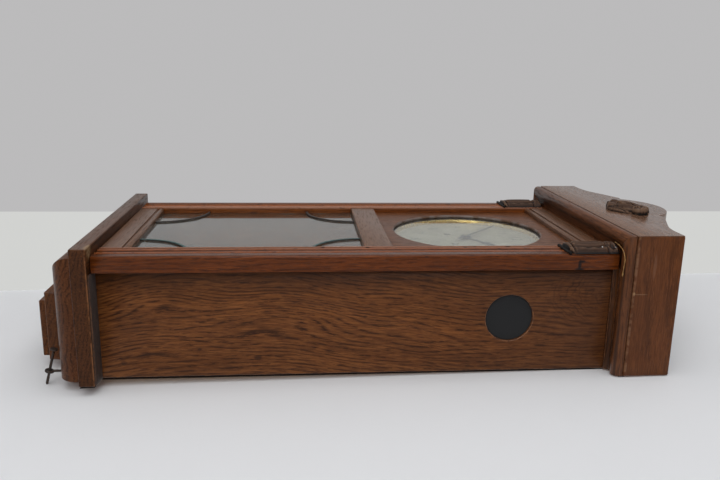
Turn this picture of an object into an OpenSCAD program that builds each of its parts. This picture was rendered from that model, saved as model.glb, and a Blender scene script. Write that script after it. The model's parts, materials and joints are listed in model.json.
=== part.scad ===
// Box regulator wall clock in oak: case, hinged door, crest, eight-day movement, dial and pendulum.
// Millimetres. X to the right, Y back to the wall, Z up. The origin is the centre of the hanging
// hole, in the plane of the back.

/* [Case] */
// Width of the case over its two sides
case_w = 287; // [262:1:345]
// Depth of the case sides, from the wall to the back of the door
case_d = 128; // [124:1:154]
// Height of the case sides
side_h = 596.2; // [560:0.2:720]
// Thickness of the case sides
side_t = 15; // [12:0.5:18]
// Thickness of the backboard
back_t = 8; // [6:0.5:10]
// Thickness of the board that closes the case at the top
top_t = 12.5; // [12:0.5:18]
// Radius that takes the sharpness off the boards' edges
ease_r = 1.2; // [0.6:0.1:2]
// Radius of the sound hole in each side
sound_r = 28.5; // [20:0.5:34]
// Sound hole's centre above the dial's centre
sound_rise = 22.5; // [10:0.5:30]
// Sound hole's centre in front of the wall
sound_y = 65.7; // [50:0.1:80]

/* [Plinth and base] */
// Thickness of the plinth board
plinth_t = 17.6; // [14:0.2:22]
// Plinth board past the case at each side
plinth_side = 23.9; // [18:0.1:30]
// Plinth board past the case in front
plinth_front = 30; // [26:0.5:36]
// Height of the low strip in the corner of side and plinth
foot_strip = 2.6; // [1.6:0.1:6]
// Width of that strip
foot_strip_w = 20; // [6:0.5:22]
// Width of the rounded board under the plinth
bull_w = 308; // [270:1:360]
// Depth of the rounded board
bull_d = 144.5; // [120:0.5:150]
// Thickness of the rounded board
bull_t = 28; // [24:0.5:34]
// Radius of its rounded lower edge
bull_r = 22; // [14:0.5:23]
// Width of the block under it, at the top
block_w = 184; // [140:1:220]
// Depth of the block
block_d = 85; // [70:1:100]
// Height of the block
block_h = 29; // [22:0.5:36]
// Narrowing of the block at each side, down to its foot
block_taper = 5; // [0:0.5:10]
// Width of the lowest plate
foot_w = 150; // [120:1:164]
// Depth of the lowest plate
foot_d = 71; // [55:1:84]
// Thickness of the lowest plate
foot_t = 11; // [8:0.5:14]

/* [Cornice and crest] */
// Cornice and crest past the case at each side
crest_side = 25.6; // [20:0.2:30]
// Crest in front of the door's face
crest_front_lip = 24.2; // [20:0.2:32]
// Height of the crest at its ends
crest_h = 55.4; // [40:0.2:70]
// Height of the crest at the top of its arch
arch_h = 112; // [95:0.5:125]
// Radius of the arch
arch_r = 69; // [55:0.5:80]
// Half the width of the crest where arch and slope meet
notch_x = 57.2; // [45:0.2:60]
// Thickness of the crest boards
crest_t = 18; // [12:0.5:20]
// Radius of the hollow where the slope runs out
slope_r = 90; // [60:1:120]
// Angle of the slope beside the arch
slope_a = 23.3; // [18:0.1:28]

/* [Door] */
// Width of the door
door_over = 11.8; // [8:0.2:14]
// Thickness of the door frame
door_t = 18.8; // [17:0.2:24]
// Gap above and below the door
door_gap = 1.2; // [0.8:0.1:2]
// Width of the stiles
stile_w = 40.2; // [36:0.2:44]
// Height of the top rail
top_rail_h = 26.6; // [22:0.2:34]
// Height of the rail between the two openings
mid_rail_h = 34; // [26:0.5:42]
// Height of the bottom rail
bottom_rail_h = 31.2; // [26:0.2:40]
// Height of the opening in front of the dial
upper_h = 230.5; // [222:0.5:260]
// Thickness of the frame in front of the glass
lip_t = 8; // [6:0.2:8.4]
// Width of the rebate that holds glass and mask
rebate_w = 7; // [6:0.2:8]
// Thickness of the glass
glass_t = 2; // [1.8:0.1:2.2]
// Radius of the corner glazing arcs
arc_r = 65; // [50:1:75]
// Thickness of the mask board
mask_t = 4; // [3.4:0.2:6]
// Radius of the round window in the mask
window_r = 97.2; // [92:0.2:100]

/* [Dial and hands] */
// Dial centre below the underside of the crest
dial_drop = 157.5; // [150:0.5:165]
// Front of the dial behind the door's back face
dial_back = 2.5; // [1.5:0.1:4]
// Radius of the dial
dial_r = 96.8; // [92:0.2:97]
// Width of the brass ring around the dial
bezel_w = 2.4; // [1.6:0.2:8]
// Length of the minute hand
minute_l = 83; // [76:0.5:85]
// Length of the hour hand
hour_l = 52; // [44:0.5:60]
// Hour shown at rest
hour_at = 1; // [0:1:11]
// Minutes shown at rest
minute_at = 52; // [0:1:59]

/* [Movement] */
// Half the width of the movement plates
mplate_x = 62; // [60:0.5:70]
// Bottom of the plates below the dial centre
mplate_low = 52; // [50:0.5:60]
// Top of the plates above the dial centre
mplate_high = 68; // [66:0.5:76]
// Thickness of the plates
mplate_t = 2; // [1.6:0.1:2.5]
// Room between the plates
mroom = 46; // [44:0.5:50]
// Dial back to the front plate
dial_room = 12.3; // [11:0.1:14]
// Sideways distance of a winding arbor from the centre
wind_x = 27; // [25:0.2:29]
// Depth of a winding arbor below the centre
wind_z = 20; // [18:0.2:22]
// Play of a shaft in its hole, on the radius
fit = 0.06; // [0.02:0.01:0.1]

/* [Pendulum] */
// Height of the bob's centre above the plinth
bob_up = 110; // [90:1:170]
// Radius of the bob
bob_r = 45; // [35:1:55]
// Thickness of the bob
bob_t = 16; // [12:0.5:20]
// Width of the rod
rod_w = 9; // [7:0.5:12]
// Thickness of the rod
rod_t = 4; // [3:0.2:5]
// Pendulum in front of the wall
swing_y = 38; // [36:0.5:40]

/* [Hanging] */
// Centre of the hanging hole above the underside of the crest
hanger_rise = 24; // [18:1:32]
// Radius of the hanging hole
hanger_r = 5; // [3:0.5:6]
// Thickness of the hanging plate
hanger_t = 3; // [2:0.5:4]
// Sideways place of each wall screw
stay_x = 130; // [110:1:138]
// Tilt of the wall screws
stay_a = 15; // [8:1:22]
// Radius of the wall screws
stay_r = 1.6; // [1.2:0.1:2.4]

/* [Hidden] */
$fn = 96;
cut = 1; // how far a cut runs past the face that it opens

// Heights, from the hanging hole down
z_crest = -hanger_rise;
z_board = z_crest - top_t;
z_side = z_board - side_h;
z_plinth = z_side - plinth_t;
z_bull = z_plinth - bull_t;
z_block = z_bull - block_h;
z_dial = z_crest - dial_drop;

// Depths, from the wall forward
y_side = -case_d;
y_door = y_side - door_t;
y_crest = y_door - crest_front_lip;
y_board = y_crest + crest_side;
y_shoulder = y_door + lip_t;
y_mask = y_shoulder + mask_t;
y_dial = y_side + dial_back;
dial_t = 1.2;
y_plate = y_dial + dial_t + dial_room;
y_room = y_plate + mplate_t;
y_rear = y_room + mroom;
y_movement = y_rear + mplate_t;

// Half widths
case_x = case_w / 2;
inner_x = case_x - side_t;
back_x = case_x - side_t / 2;
door_x = case_x + door_over;
open_x = door_x - stile_w;
crest_x = case_x + crest_side;

// The door's heights
door_z0 = z_side + door_gap;
door_z1 = z_board - door_gap;
upper_z1 = door_z1 - top_rail_h;
upper_z0 = upper_z1 - upper_h;
lower_z1 = upper_z0 - mid_rail_h;
lower_z0 = door_z0 + bottom_rail_h;
pane_play = 0.5;
pane_x = open_x + rebate_w - pane_play;

// Hinges: a barrel in the corner of the door's back and the case's side
hinge_h = 50;
hinge_r = 2.6;
hinge_pin_r = 1;
hinge_off = 3.5;
hinge_leaf = 1.2;
hinge_in = 17;
hinge_x = case_x + hinge_off;
hinge_zs = [z_side + 66, z_board - 66 - hinge_h];
hinge_gap = 0.2;
hinge_third = hinge_h / 3;
strip_back = 16;

// Train: teeth and modules of each pair, and where the arbors stand about the dial centre
great_z = 70;
centre_pinion_z = 10;
great_m = 2 * norm([wind_x, wind_z]) / (great_z + centre_pinion_z);
centre_z = 80;
leaf_z = 8;
centre_m = 0.6;
third_z = 76;
third_m = 0.5;
escape_z = 30;
escape_r = 15;
escape_up = 34;
pivot_up = 55;
third_d = (centre_z + leaf_z) * centre_m / 2;
third_e = (third_z + leaf_z) * third_m / 2;
third_up = (third_d * third_d - third_e * third_e + escape_up * escape_up) / (2 * escape_up);
third_x = sqrt(third_d * third_d - third_up * third_up);
cannon_z = 12;
minute_z = 36;
motion_d = 12;
motion_m = 2 * motion_d / (cannon_z + minute_z);
minute_leaf_z = 10;
hour_z = 40;
hour_m = 2 * motion_d / (minute_leaf_z + hour_z);
pin_a = 115;
pin_x = -wind_x + norm([wind_x, wind_z]) * cos(pin_a);
pin_z = -wind_z + norm([wind_x, wind_z]) * sin(pin_a);
pin_r = 14;
hammer_x = -52;
hammer_z = 32;
wheel_t = 1.5;
leaf_l = 4;
arbor_r = 1.5;
centre_r = 2.5;
wind_r = 3;
drum_r = 22;
boss_r = 5;
pillar_r = 4;
pillar_in = 7;
motion_y = y_plate - 1;

// Hands
hand_t = 0.8;
pipe_r = 3.6;
pipe_hole = centre_r + fit;
y_hour = y_dial - 1.4;
y_minute = y_hour - hand_t - 1.2;
y_nut = y_minute - hand_t - 1.2;
minute_a = minute_at * 6;
hour_a = (hour_at + minute_at / 60) * 30;

// Pendulum, hung from a pin in the cock
z_pivot = z_dial + pivot_up;
z_bob = z_side + bob_up;
cheek = 2.7;
ear_t = 3;
ear_gap = 0.3;
hang_pin_r = 1.2;
block_l = 5;
spring_l = 14;
nut_h = 6;
nut_r = 7;
regulator_r = 1.5;
fork_gap = 0.3;
fork_t = 1.8;

// Gong rods and hammer
gong_x = -76;
gong_r = 2.2;
gong_l = 215;
gong_ys = [-20, -32];
gong_top = z_dial - 10;
gong_block = 20;
hammer_gap = 1;

// Wall screws under the rounded board
eye_drop = 15;
eye_y = -4;
eye_r = 5.5;
eye_t = 3;
stay_head = 24;
stay_tip = 17;
z_eye = z_bull - eye_drop;

// Hanging plate
plate_x = 17;
plate_down = 30;
plate_up = 13;
screw_r = 1.8;
screw_head = 3.6;
screw_l = 24;
screw_x = 10;

// One prism along Y: the outline is drawn as seen from the front and fills y0 back to y1
module seen(y0, y1) {
    translate([0, y1, 0]) rotate([90, 0, 0]) linear_extrude(y1 - y0) children();
}

// One prism along X: the outline is drawn with Y to the right and Z up
module along_x(x0, x1) {
    translate([x0, 0, 0]) rotate([90, 0, 90]) linear_extrude(x1 - x0) children();
}

// A box between two corners
module span(a, b) {
    translate(a) cube(b - a);
}

// A rectangle between two corners, with round corners
module eased(a, b, r) {
    translate([a.x + r, a.y]) square([b.x - a.x - 2 * r, b.y - a.y]);
    translate([a.x, a.y + r]) square([b.x - a.x, b.y - a.y - 2 * r]);
    for (x = [a.x + r, b.x - r], y = [a.y + r, b.y - r]) translate([x, y]) circle(r);
}

// A board whose long edges are taken off, all four in plan and front to back
module board(a, b, r) {
    intersection() {
        translate([0, 0, a.z]) linear_extrude(b.z - a.z) eased([a.x, a.y], [b.x, b.y], r);
        along_x(a.x, b.x) eased([a.y, a.z], [b.y, b.z], r);
    }
}

module both_sides() {
    children();
    mirror([1, 0, 0]) children();
}

// A cylinder along Y, from y0 back to y1
module rod_y(r, y0, y1, x = 0, z = 0) {
    translate([x, y0, z]) rotate([-90, 0, 0]) cylinder(r = r, h = y1 - y0);
}

// Points of an arc, first angle to last
function arc(c, r, a0, a1, n) =
    [for (i = [0 : n]) c + r * [cos(a0 + (a1 - a0) * i / n), sin(a0 + (a1 - a0) * i / n)]];

// Outline of a toothed wheel: z teeth of module m, the first at the angle at
function teeth(z, m, at, share, tip, root) = [for (i = [0 : z - 1])
    for (p = [[-0.5, root], [-share, 0], [-share * 0.45, tip], [share * 0.45, tip], [share, 0]])
    (z * m / 2 + p[1] * m) * [cos(at + (i + p[0] * 0.5) * 360 / z),
        sin(at + (i + p[0] * 0.5) * 360 / z)]];

module wheel_outline(z, m, at) {
    polygon(teeth(z, m, at, 0.38, 0.55, -1));
}

module leaves_outline(z, m, at) {
    polygon(teeth(z, m, at, 0.28, 0.45, -1));
}

// A thin wheel with its crossings cut out, centred on the origin of its plane
module crossed_wheel(z, m, at, bore, spokes = 5) {
    rim = z * m / 2 - 1.2 * m - 1.8;
    hub = boss_r;
    difference() {
        wheel_outline(z, m, at);
        difference() {
            circle(rim);
            circle(hub);
            for (i = [0 : spokes - 1]) rotate(i * 360 / spokes) translate([0, -1]) square([rim + 1, 2]);
        }
        circle(bore);
    }
}

module backboard() color("saddlebrown") difference() {
    span([-back_x, -back_t, z_side], [back_x, 0, z_crest]);
    span([-plate_x - fit, -hanger_t, z_crest - plate_down - fit], [plate_x + fit, cut, z_crest + cut]);
    screw_bores();
}

module screw_bores() {
    for (x = [-screw_x, screw_x])
        rod_y(screw_r + fit, -screw_l - cut, cut, x, z_crest - top_t / 2);
}

module side_panel() {
    difference() {
        span([inner_x, y_side, z_side], [case_x, 0, z_board]);
        span([inner_x - cut, -back_t, z_side - cut], [back_x, cut, z_board + cut]);
        translate([inner_x - cut, -sound_y, z_dial + sound_rise])
            rotate([0, 90, 0]) cylinder(r = sound_r, h = side_t + 2 * cut);
    }
}

module side_panel_right() color("sienna") side_panel();

module side_panel_left() color("sienna") difference() {
    mirror([1, 0, 0]) side_panel();
    for (z = hinge_zs)
        span([-case_x - cut, y_side - cut, z],
            [-hinge_x + hinge_in + fit, y_side + hinge_leaf + fit, z + hinge_h]);
}

module case_top_board() color("sienna") difference() {
    span([-case_x, y_board, z_board], [case_x, 0, z_crest]);
    span([-back_x, -back_t, z_board - cut], [back_x, cut, z_crest + cut]);
    screw_bores();
}

module plinth_board() color("sienna")
    board([-case_x - plinth_side, y_side - plinth_front, z_plinth],
        [case_x + plinth_side, 0, z_side], ease_r);

module bullnose_board() color("peru") difference() {
    intersection() {
        seen(-bull_d, 0) difference() {
            translate([-bull_w / 2, z_bull]) square([bull_w, bull_t]);
            for (s = [-1, 1]) bull_corner(s * bull_w / 2, s);
        }
        along_x(-bull_w / 2, bull_w / 2) difference() {
            translate([-bull_d, z_bull]) square([bull_d, bull_t]);
            bull_corner(-bull_d, -1);
        }
    }
    for (s = [-1, 1]) translate([s * stay_x, eye_y, z_bull - cut]) cylinder(r = stay_r + fit, h = 9 + cut);
}

// What the round takes off one lower corner: x is the outer edge, and s its side
module bull_corner(x, s) {
    difference() {
        translate([s > 0 ? x - bull_r : x - cut, z_bull - cut]) square([bull_r + cut, bull_r + cut]);
        translate([x - s * bull_r, z_bull + bull_r]) circle(bull_r);
    }
}

module base_block() color("saddlebrown") seen(-block_d, 0)
    polygon([[-block_w / 2, z_bull], [block_w / 2, z_bull],
        [block_w / 2 - block_taper, z_block], [-block_w / 2 + block_taper, z_block]]);

module base_plate() color("saddlebrown")
    board([-foot_w / 2, -foot_d, z_block - foot_t], [foot_w / 2, 0, z_block], ease_r);

// Strips along the sides, on the plinth and under the cornice. Their front ends stop short
// on the hinge side, where the open door swings in
function strip_y(s) = s > 0 ? y_side + fit : y_side + strip_back;

module side_strips() {
    for (s = [1, -1]) mirror([s > 0 ? 0 : 1, 0, 0]) {
        color("dimgray") seen(strip_y(s), 0) translate([case_x, z_side])
            polygon([[0, 0], [foot_strip_w, 0], [foot_strip_w - 0.6, 0.7], [1.4, foot_strip],
                [0, foot_strip]]);
        color("saddlebrown") seen(strip_y(s), 0) difference() {
            translate([case_x, z_crest - mould_lift - strip_h]) square([strip_w, strip_h]);
            translate([case_x + strip_w, z_crest - mould_lift - strip_h]) circle(strip_h - 1);
        }
    }
}

// Cornice profile: u runs out from the case, a rounded nose hangs a little below the hollow,
// and a narrow step parts it from the crest
mould_lift = 9.2;
strip_w = 8.3;
strip_h = 6.1;
nose_r = 8.2;
nose_set = 0.8;
mould_step = 1;
function cornice_outline() = concat(
    [[0, 0], [0, -mould_lift], [strip_w, -mould_lift]],
    arc([crest_side - nose_set - nose_r, -top_t + nose_r], nose_r, 250, 360, 10),
    [[crest_side - nose_set, -mould_step], [crest_side - nose_set - mould_step, -mould_step],
        [crest_side - nose_set - mould_step, 0]]);

module cornice_moulding() color("sienna") {
    both_sides() intersection() {
        translate([case_x, 0, z_crest]) rotate([90, 0, 0]) linear_extrude(-y_crest)
            polygon(cornice_outline());
        translate([0, 0, z_board - cut]) linear_extrude(top_t + 2 * cut)
            polygon([[case_x, 0], [crest_x, 0], [crest_x, y_crest + mitre], [case_x, y_board + mitre]]);
    }
    intersection() {
        translate([-crest_x, y_board, z_crest]) rotate([90, 0, 90]) linear_extrude(2 * crest_x)
            polygon([for (p = cornice_outline()) [-p.x, p.y]]);
        translate([0, 0, z_board - cut]) linear_extrude(top_t + 2 * cut)
            polygon([[-case_x, y_board], [case_x, y_board], [crest_x, y_crest], [-crest_x, y_crest]]);
    }
}
mitre = 0.05; // glue line between mitred pieces

// Right half of the crest's outline, from its foot to the top of the arch
slope_end = case_x + crest_side - 19;
arch_z = arch_h - arch_r;
notch_z = arch_z + sqrt(arch_r * arch_r - notch_x * notch_x);
horn_x = notch_x + 9;
foot_x = slope_end - slope_r * sin(slope_a);
foot_z = crest_h + slope_r * (1 - cos(slope_a));
horn_z = foot_z + (foot_x - horn_x) * tan(slope_a);
function crest_half() = concat([[crest_x, 0], [crest_x, crest_h]],
    arc([slope_end, crest_h + slope_r], slope_r, 270, 270 - slope_a, 8),
    [[horn_x, horn_z], [notch_x, notch_z]],
    arc([0, arch_z], arch_r, acos(notch_x / arch_r), 88, 14));

module crest_front() color("rosybrown") intersection() {
    seen(y_crest, y_crest + crest_t) translate([0, z_crest]) {
        half = crest_half();
        polygon(concat(half, [for (i = [len(half) - 1 : -1 : 0]) [-half[i].x, half[i].y]]));
    }
    translate([0, 0, z_crest - cut]) linear_extrude(arch_h + 2 * cut)
        polygon([[-crest_x, y_crest], [crest_x, y_crest], [crest_x - crest_t, y_crest + crest_t],
            [-crest_x + crest_t, y_crest + crest_t]]);
}

module crest_returns() color("saddlebrown") both_sides()
    translate([0, 0, z_crest]) linear_extrude(crest_h)
        polygon([[crest_x, y_crest], [crest_x, 0], [crest_x - crest_t, 0],
            [crest_x - crest_t, y_crest + crest_t]]);

// One pointed leaf lying on the crest, its root at the origin and its tip at l
module leaf(l, r) {
    rotate_extrude() polygon(concat([[0, 0]], [for (i = [1 : 7]) [r * pow(sin(i * 22.5), 0.8), l * i / 8]],
        [[0, l]]));
}

// A scroll seen from the front: a rounded ring about a knob
module volute() rotate([90, 0, 0]) union() {
    rotate_extrude() translate([volute_r, 0]) circle(4.6);
    translate([0, 0, 1.5]) sphere(5.4);
}

// Carved palmette: a middle leaf, two leaves that lean outwards, and a scroll at the end of each
carving_z = 40;
carving_w = 58;
carving_t = 9.5;
volute_x = 46;
volute_z = 14;
volute_r = 7;
module crest_carving() color("dimgray") translate([0, y_crest, z_crest + carving_z])
    intersection() {
        span([-carving_w, -carving_t, -34], [carving_w, 0, 30]);
        union() {
            translate([0, 0, -31]) leaf(60, 9.5);
            for (s = [-1, 1]) {
                translate([s * 3, 0, -22]) rotate([0, s * 52, 0]) leaf(50, 7.5);
                translate([s * volute_x, 0, volute_z]) volute();
            }
        }
    }

module sound_cloths() color("black") both_sides()
    translate([case_x - 4, -sound_y, z_dial + sound_rise])
        rotate([0, 90, 0]) cylinder(r = sound_r - 0.1, h = 1);

module hanger_plate() color("dimgray") difference() {
    seen(-hanger_t, 0) {
        translate([-plate_x, z_crest - plate_down]) square([2 * plate_x, plate_down - z_crest]);
        circle(plate_up);
        translate([-plate_up, -cut]) square([2 * plate_up, cut]);
    }
    for (s = [-1, 1]) span([s > 0 ? plate_up : -plate_x - cut, -hanger_t - cut, z_crest + 6],
        [s > 0 ? plate_x + cut : -plate_up, cut, cut]);
    rod_y(hanger_r, -hanger_t - cut, cut);
    for (x = [-screw_x, screw_x]) {
        rod_y(screw_r + fit, -hanger_t - cut, cut, x, z_crest - top_t / 2);
        translate([x, 0, z_crest - top_t / 2]) rotate([90, 0, 0]) translate([0, 0, -0.01])
            cylinder(r1 = screw_head + fit, r2 = screw_r + fit, h = 2);
    }
}

module hanger_screws() color("gray") for (x = [-screw_x, screw_x])
    translate([x, 0, z_crest - top_t / 2]) rotate([90, 0, 0]) union() {
        cylinder(r1 = screw_head, r2 = screw_r, h = 2);
        cylinder(r = screw_r, h = screw_l - 4);
        translate([0, 0, screw_l - 4]) cylinder(r1 = screw_r, r2 = 0.4, h = 4);
    }

// The eye's ring faces along the tilted wall screw, and its shank stands upright
module eye_place(s) {
    translate([s * stay_x, eye_y, z_eye]) rotate([-stay_a, 0, 0]) children();
}

module stabiliser_eyes() color("black") for (s = [-1, 1]) difference() {
    union() {
        eye_place(s) rod_y(eye_r, -eye_t / 2, eye_t / 2);
        translate([s * stay_x, eye_y, z_eye + eye_r - 1.5]) cylinder(r = stay_r, h = eye_drop + 8 - eye_r);
    }
    eye_place(s) rod_y(stay_r + fit, -eye_t, eye_t);
}

module stabiliser_screw(s) {
    eye_place(s) union() {
        rod_y(stay_r, -stay_head, stay_tip - 2);
        translate([0, stay_tip - 2, 0]) rotate([-90, 0, 0]) cylinder(r1 = stay_r, r2 = 0.8, h = 2);
        intersection() {
            translate([0, -stay_head - 2, 0]) rotate([0, 90, 0])
                translate([0, 0, -1]) cylinder(r = 6.5, h = 2);
            span([-2, -stay_head - 7, -6.5], [2, -stay_head + 3, 6.5]);
        }
    }
}

module stabiliser_screw_right() color("black") stabiliser_screw(1);

module stabiliser_screw_left() color("black") stabiliser_screw(-1);

// Stile in plan: two reeds beside the opening, a flat outside them, a rebate behind
reed_r = 7.5;
reed_step = 12.5;
reed_in = 2;
reed_depth = 3.35;
module stile_plan() {
    corner = 3;
    difference() {
        union() {
            translate([open_x, y_door]) square([stile_w - corner, door_t]);
            translate([door_x - corner - 1, y_door + corner]) square([corner + 1, door_t - corner]);
            translate([door_x - corner, y_door + corner]) circle(corner);
        }
        translate([open_x - cut, y_shoulder]) square([rebate_w + cut, door_t]);
        difference() {
            translate([open_x + reed_in, y_door - cut]) square([2 * reed_step + 1, reed_depth + cut]);
            for (i = [0, 1])
                translate([open_x + reed_in + 0.5 + (i + 0.5) * reed_step, y_door + reed_r]) circle(reed_r);
        }
    }
}

module door_stile_right() color("chocolate") difference() {
    translate([0, 0, door_z0]) linear_extrude(door_z1 - door_z0) stile_plan();
    translate([stud_x, y_side + fit, stud_z]) rotate([90, 0, 0]) cylinder(r = stud_r + fit, h = 8);
}

module door_stile_left() color("chocolate") difference() {
    translate([0, 0, door_z0]) linear_extrude(door_z1 - door_z0) mirror([1, 0]) stile_plan();
    for (z = hinge_zs) {
        translate([-hinge_x, y_side, z - 1.5]) cylinder(r = hinge_r + 0.4, h = hinge_h + 3.5);
        span([-hinge_x, y_side - hinge_leaf - fit, z],
            [-hinge_x + hinge_in + fit, y_side + cut, z + hinge_h]);
    }
}

// Rail in section, Y to the right and Z up: the bead lies along an opening's edge
bead_h = 6.6;
groove = 1.4;
rail_set = 1.1;
module rail_section(z0, z1, low_open, high_open, bead) {
    y_face = y_door + rail_set;
    difference() {
        translate([y_face, z0]) square([door_t - rail_set, z1 - z0]);
        if (low_open) translate([y_shoulder, z0 - cut]) square([door_t, rebate_w + cut]);
        if (high_open) translate([y_shoulder, z1 - rebate_w]) square([door_t, rebate_w + cut]);
        if (bead > 0) bead_cut(y_face, z0, 1);
        if (bead < 0) bead_cut(y_face, z1, -1);
        if (bead == 0) for (z = [z0, z1]) translate([y_face, z]) rotate(45) square(1.4, center = true);
    }
}

// What is cut to leave a bead along an edge: the groove beside it and the corners off its face
module bead_cut(y, z, s) {
    mid = z + s * bead_h / 2;
    difference() {
        translate([y - cut, min(z - s * cut, z + s * (bead_h + groove))])
            square([cut + 2, bead_h + groove + cut]);
        translate([y + bead_h / 2, mid]) circle(bead_h / 2);
        translate([y + bead_h / 2, mid - bead_h / 2]) square([4, bead_h]);
    }
}

module door_top_rail() color("rosybrown")
    along_x(-open_x, open_x) rail_section(upper_z1, door_z1, true, false, 1);

module door_mid_rail() color("rosybrown")
    along_x(-open_x, open_x) rail_section(lower_z1, upper_z0, true, true, 0);

module door_bottom_rail() color("rosybrown")
    along_x(-open_x, open_x) rail_section(door_z0, lower_z0, false, true, -1);

module lower_glass() color("lightsteelblue", 0.4)
    span([-pane_x, y_shoulder, lower_z0 - rebate_w + pane_play],
        [pane_x, y_shoulder + glass_t, lower_z1 + rebate_w - pane_play]);

module dial_mask() color("sienna") difference() {
    span([-pane_x, y_shoulder, upper_z0 - rebate_w + pane_play],
        [pane_x, y_mask, upper_z1 + rebate_w - pane_play]);
    rod_y(window_r, y_shoulder - cut, y_mask + cut, 0, z_dial);
    translate([0, y_shoulder, z_dial]) rotate([-90, 0, 0]) translate([0, 0, -0.01])
        cylinder(r1 = window_r + 1.5, r2 = window_r, h = 1.5);
}

module dial_glass() color("lightsteelblue", 0.3)
    rod_y(window_r + 6, y_mask, y_mask + glass_t, 0, z_dial);

arc_w = 3.4;
arc_t = 2;
module glazing_arcs() color("black") for (s = [-1, 1], z = [lower_z0, lower_z1])
    intersection() {
        seen(y_shoulder - arc_t, y_shoulder) translate([s * open_x, z]) difference() {
            circle(arc_r + arc_w / 2);
            circle(arc_r - arc_w / 2);
        }
        span([s > 0 ? 0 : -open_x, y_door, z == lower_z0 ? z : z - 2 * arc_r],
            [s > 0 ? open_x : 0, y_shoulder + cut, z == lower_z0 ? z + 2 * arc_r : z]);
    }

// A carved bud across each stile: rounded in section, its foot pointed, with a bead before it
cap_l = 58;
cap_t = 9.3;
cap_foot = 16;
cap_bead = 2.2;
cap_r = (stile_w * stile_w / 4 + cap_t * cap_t) / (2 * cap_t);
module capitals() color("dimgray") both_sides() union() {
    intersection() {
        translate([open_x + stile_w / 2, y_door - cap_t + cap_r, door_z1 - cap_l])
            cylinder(r = cap_r, h = cap_l);
        seen(y_door - 2 * cap_t, y_door) polygon([[open_x, door_z1], [open_x, door_z1 - cap_l + cap_foot / 2],
            [open_x + cap_foot / 2, door_z1 - cap_l + 1], [open_x + cap_foot, door_z1 - cap_l],
            [door_x - cap_foot, door_z1 - cap_l], [door_x - cap_foot / 2, door_z1 - cap_l + 1],
            [door_x, door_z1 - cap_l + cap_foot / 2], [door_x, door_z1]]);
    }
    intersection() {
        translate([open_x, y_door, door_z1 - cap_l]) rotate([0, 90, 0]) cylinder(r = cap_bead, h = stile_w);
        span([open_x, y_door - 2 * cap_bead, door_z1 - 2 * cap_l], [door_x, y_door, door_z1]);
    }
}

// Hinges: the case leaf has the middle knuckle, the door leaf the two outer ones
module knuckle(z, h) {
    translate([-hinge_x, y_side, z]) difference() {
        cylinder(r = hinge_r, h = h);
        translate([0, 0, -cut]) cylinder(r = hinge_pin_r + fit, h = h + 2 * cut);
    }
}

module leaf_plate(y0, y1, z0, z1, x0) {
    span([x0, y0, z0], [-hinge_x + hinge_in, y1, z1]);
}

module hinge_case_leaves() color("goldenrod") for (z = hinge_zs) {
    hinge_pin(z);
    union() {
    knuckle(z + hinge_third + hinge_gap / 2, hinge_third - hinge_gap);
    leaf_plate(y_side + 0.05, y_side + hinge_leaf, z, z + hinge_h, -hinge_x + hinge_r + 0.2);
    leaf_plate(y_side + 0.05, y_side + hinge_leaf, z + hinge_third + hinge_gap / 2,
        z + 2 * hinge_third - hinge_gap / 2, -hinge_x + hinge_pin_r + 0.6);
    }
}

module hinge_pin(z) {
    translate([-hinge_x, y_side, z]) union() {
        translate([0, 0, -0.6]) cylinder(r = hinge_pin_r, h = hinge_h + 1.2);
        translate([0, 0, hinge_h + 0.1]) cylinder(r = hinge_r - 0.4, h = 1.1);
    }
}

module hinge_door_leaves() color("goldenrod") for (z = hinge_zs) union() {
    for (k = [0, 2]) {
        low = z + k * hinge_third + (k > 0 ? hinge_gap / 2 : 0);
        knuckle(low, hinge_third - hinge_gap / 2);
        leaf_plate(y_side - hinge_leaf, y_side - 0.05, low, low + hinge_third - hinge_gap / 2,
            -hinge_x + hinge_pin_r + 0.6);
    }
    leaf_plate(y_side - hinge_leaf, y_side - 0.05, z, z + hinge_h, -hinge_x + hinge_r + 0.2);
}

// Spring catch inside the free side
stud_r = 1.8;
stud_x = inner_x - 3.9;
stud_z = (upper_z0 + lower_z1) / 2;
clip_t = 1;
module catch_stud() color("gold") union() {
    rod_y(stud_r, y_side - 7, y_side + 11, stud_x, stud_z);
    translate([stud_x, y_side + 11, stud_z]) sphere(stud_r);
}

module catch_clip() color("gold") union() {
    span([inner_x - clip_t, y_side + 3, stud_z - 9], [inner_x, y_side + 22, stud_z + 9]);
    for (s = [-1, 1]) span([inner_x - 7, y_side + 4, stud_z + s * (stud_r + 0.8) - clip_t / 2],
        [inner_x - clip_t / 2, y_side + 18, stud_z + s * (stud_r + 0.8) + clip_t / 2]);
}

// Two iron brackets on the backboard carry the movement plates
bracket_x = 45;
bracket_w = 12;
bracket_t = 3;
bracket_leg = 40;
module movement_brackets() color("dimgray") both_sides() {
    z = z_dial - mplate_low;
    along = [bracket_x - bracket_w / 2, bracket_x + bracket_w / 2];
    union() {
        span([along[0], y_plate - 3, z - bracket_t], [along[1], -back_t, z]);
        span([along[0], -back_t - bracket_t, z - bracket_leg], [along[1], -back_t, z]);
        along_x(bracket_x - bracket_t / 2, bracket_x + bracket_t / 2)
            polygon([[-back_t - 1, z - 1], [-back_t - 1, z - bracket_leg + 3], [-back_t - 45, z - 1]]);
    }
}

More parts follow.
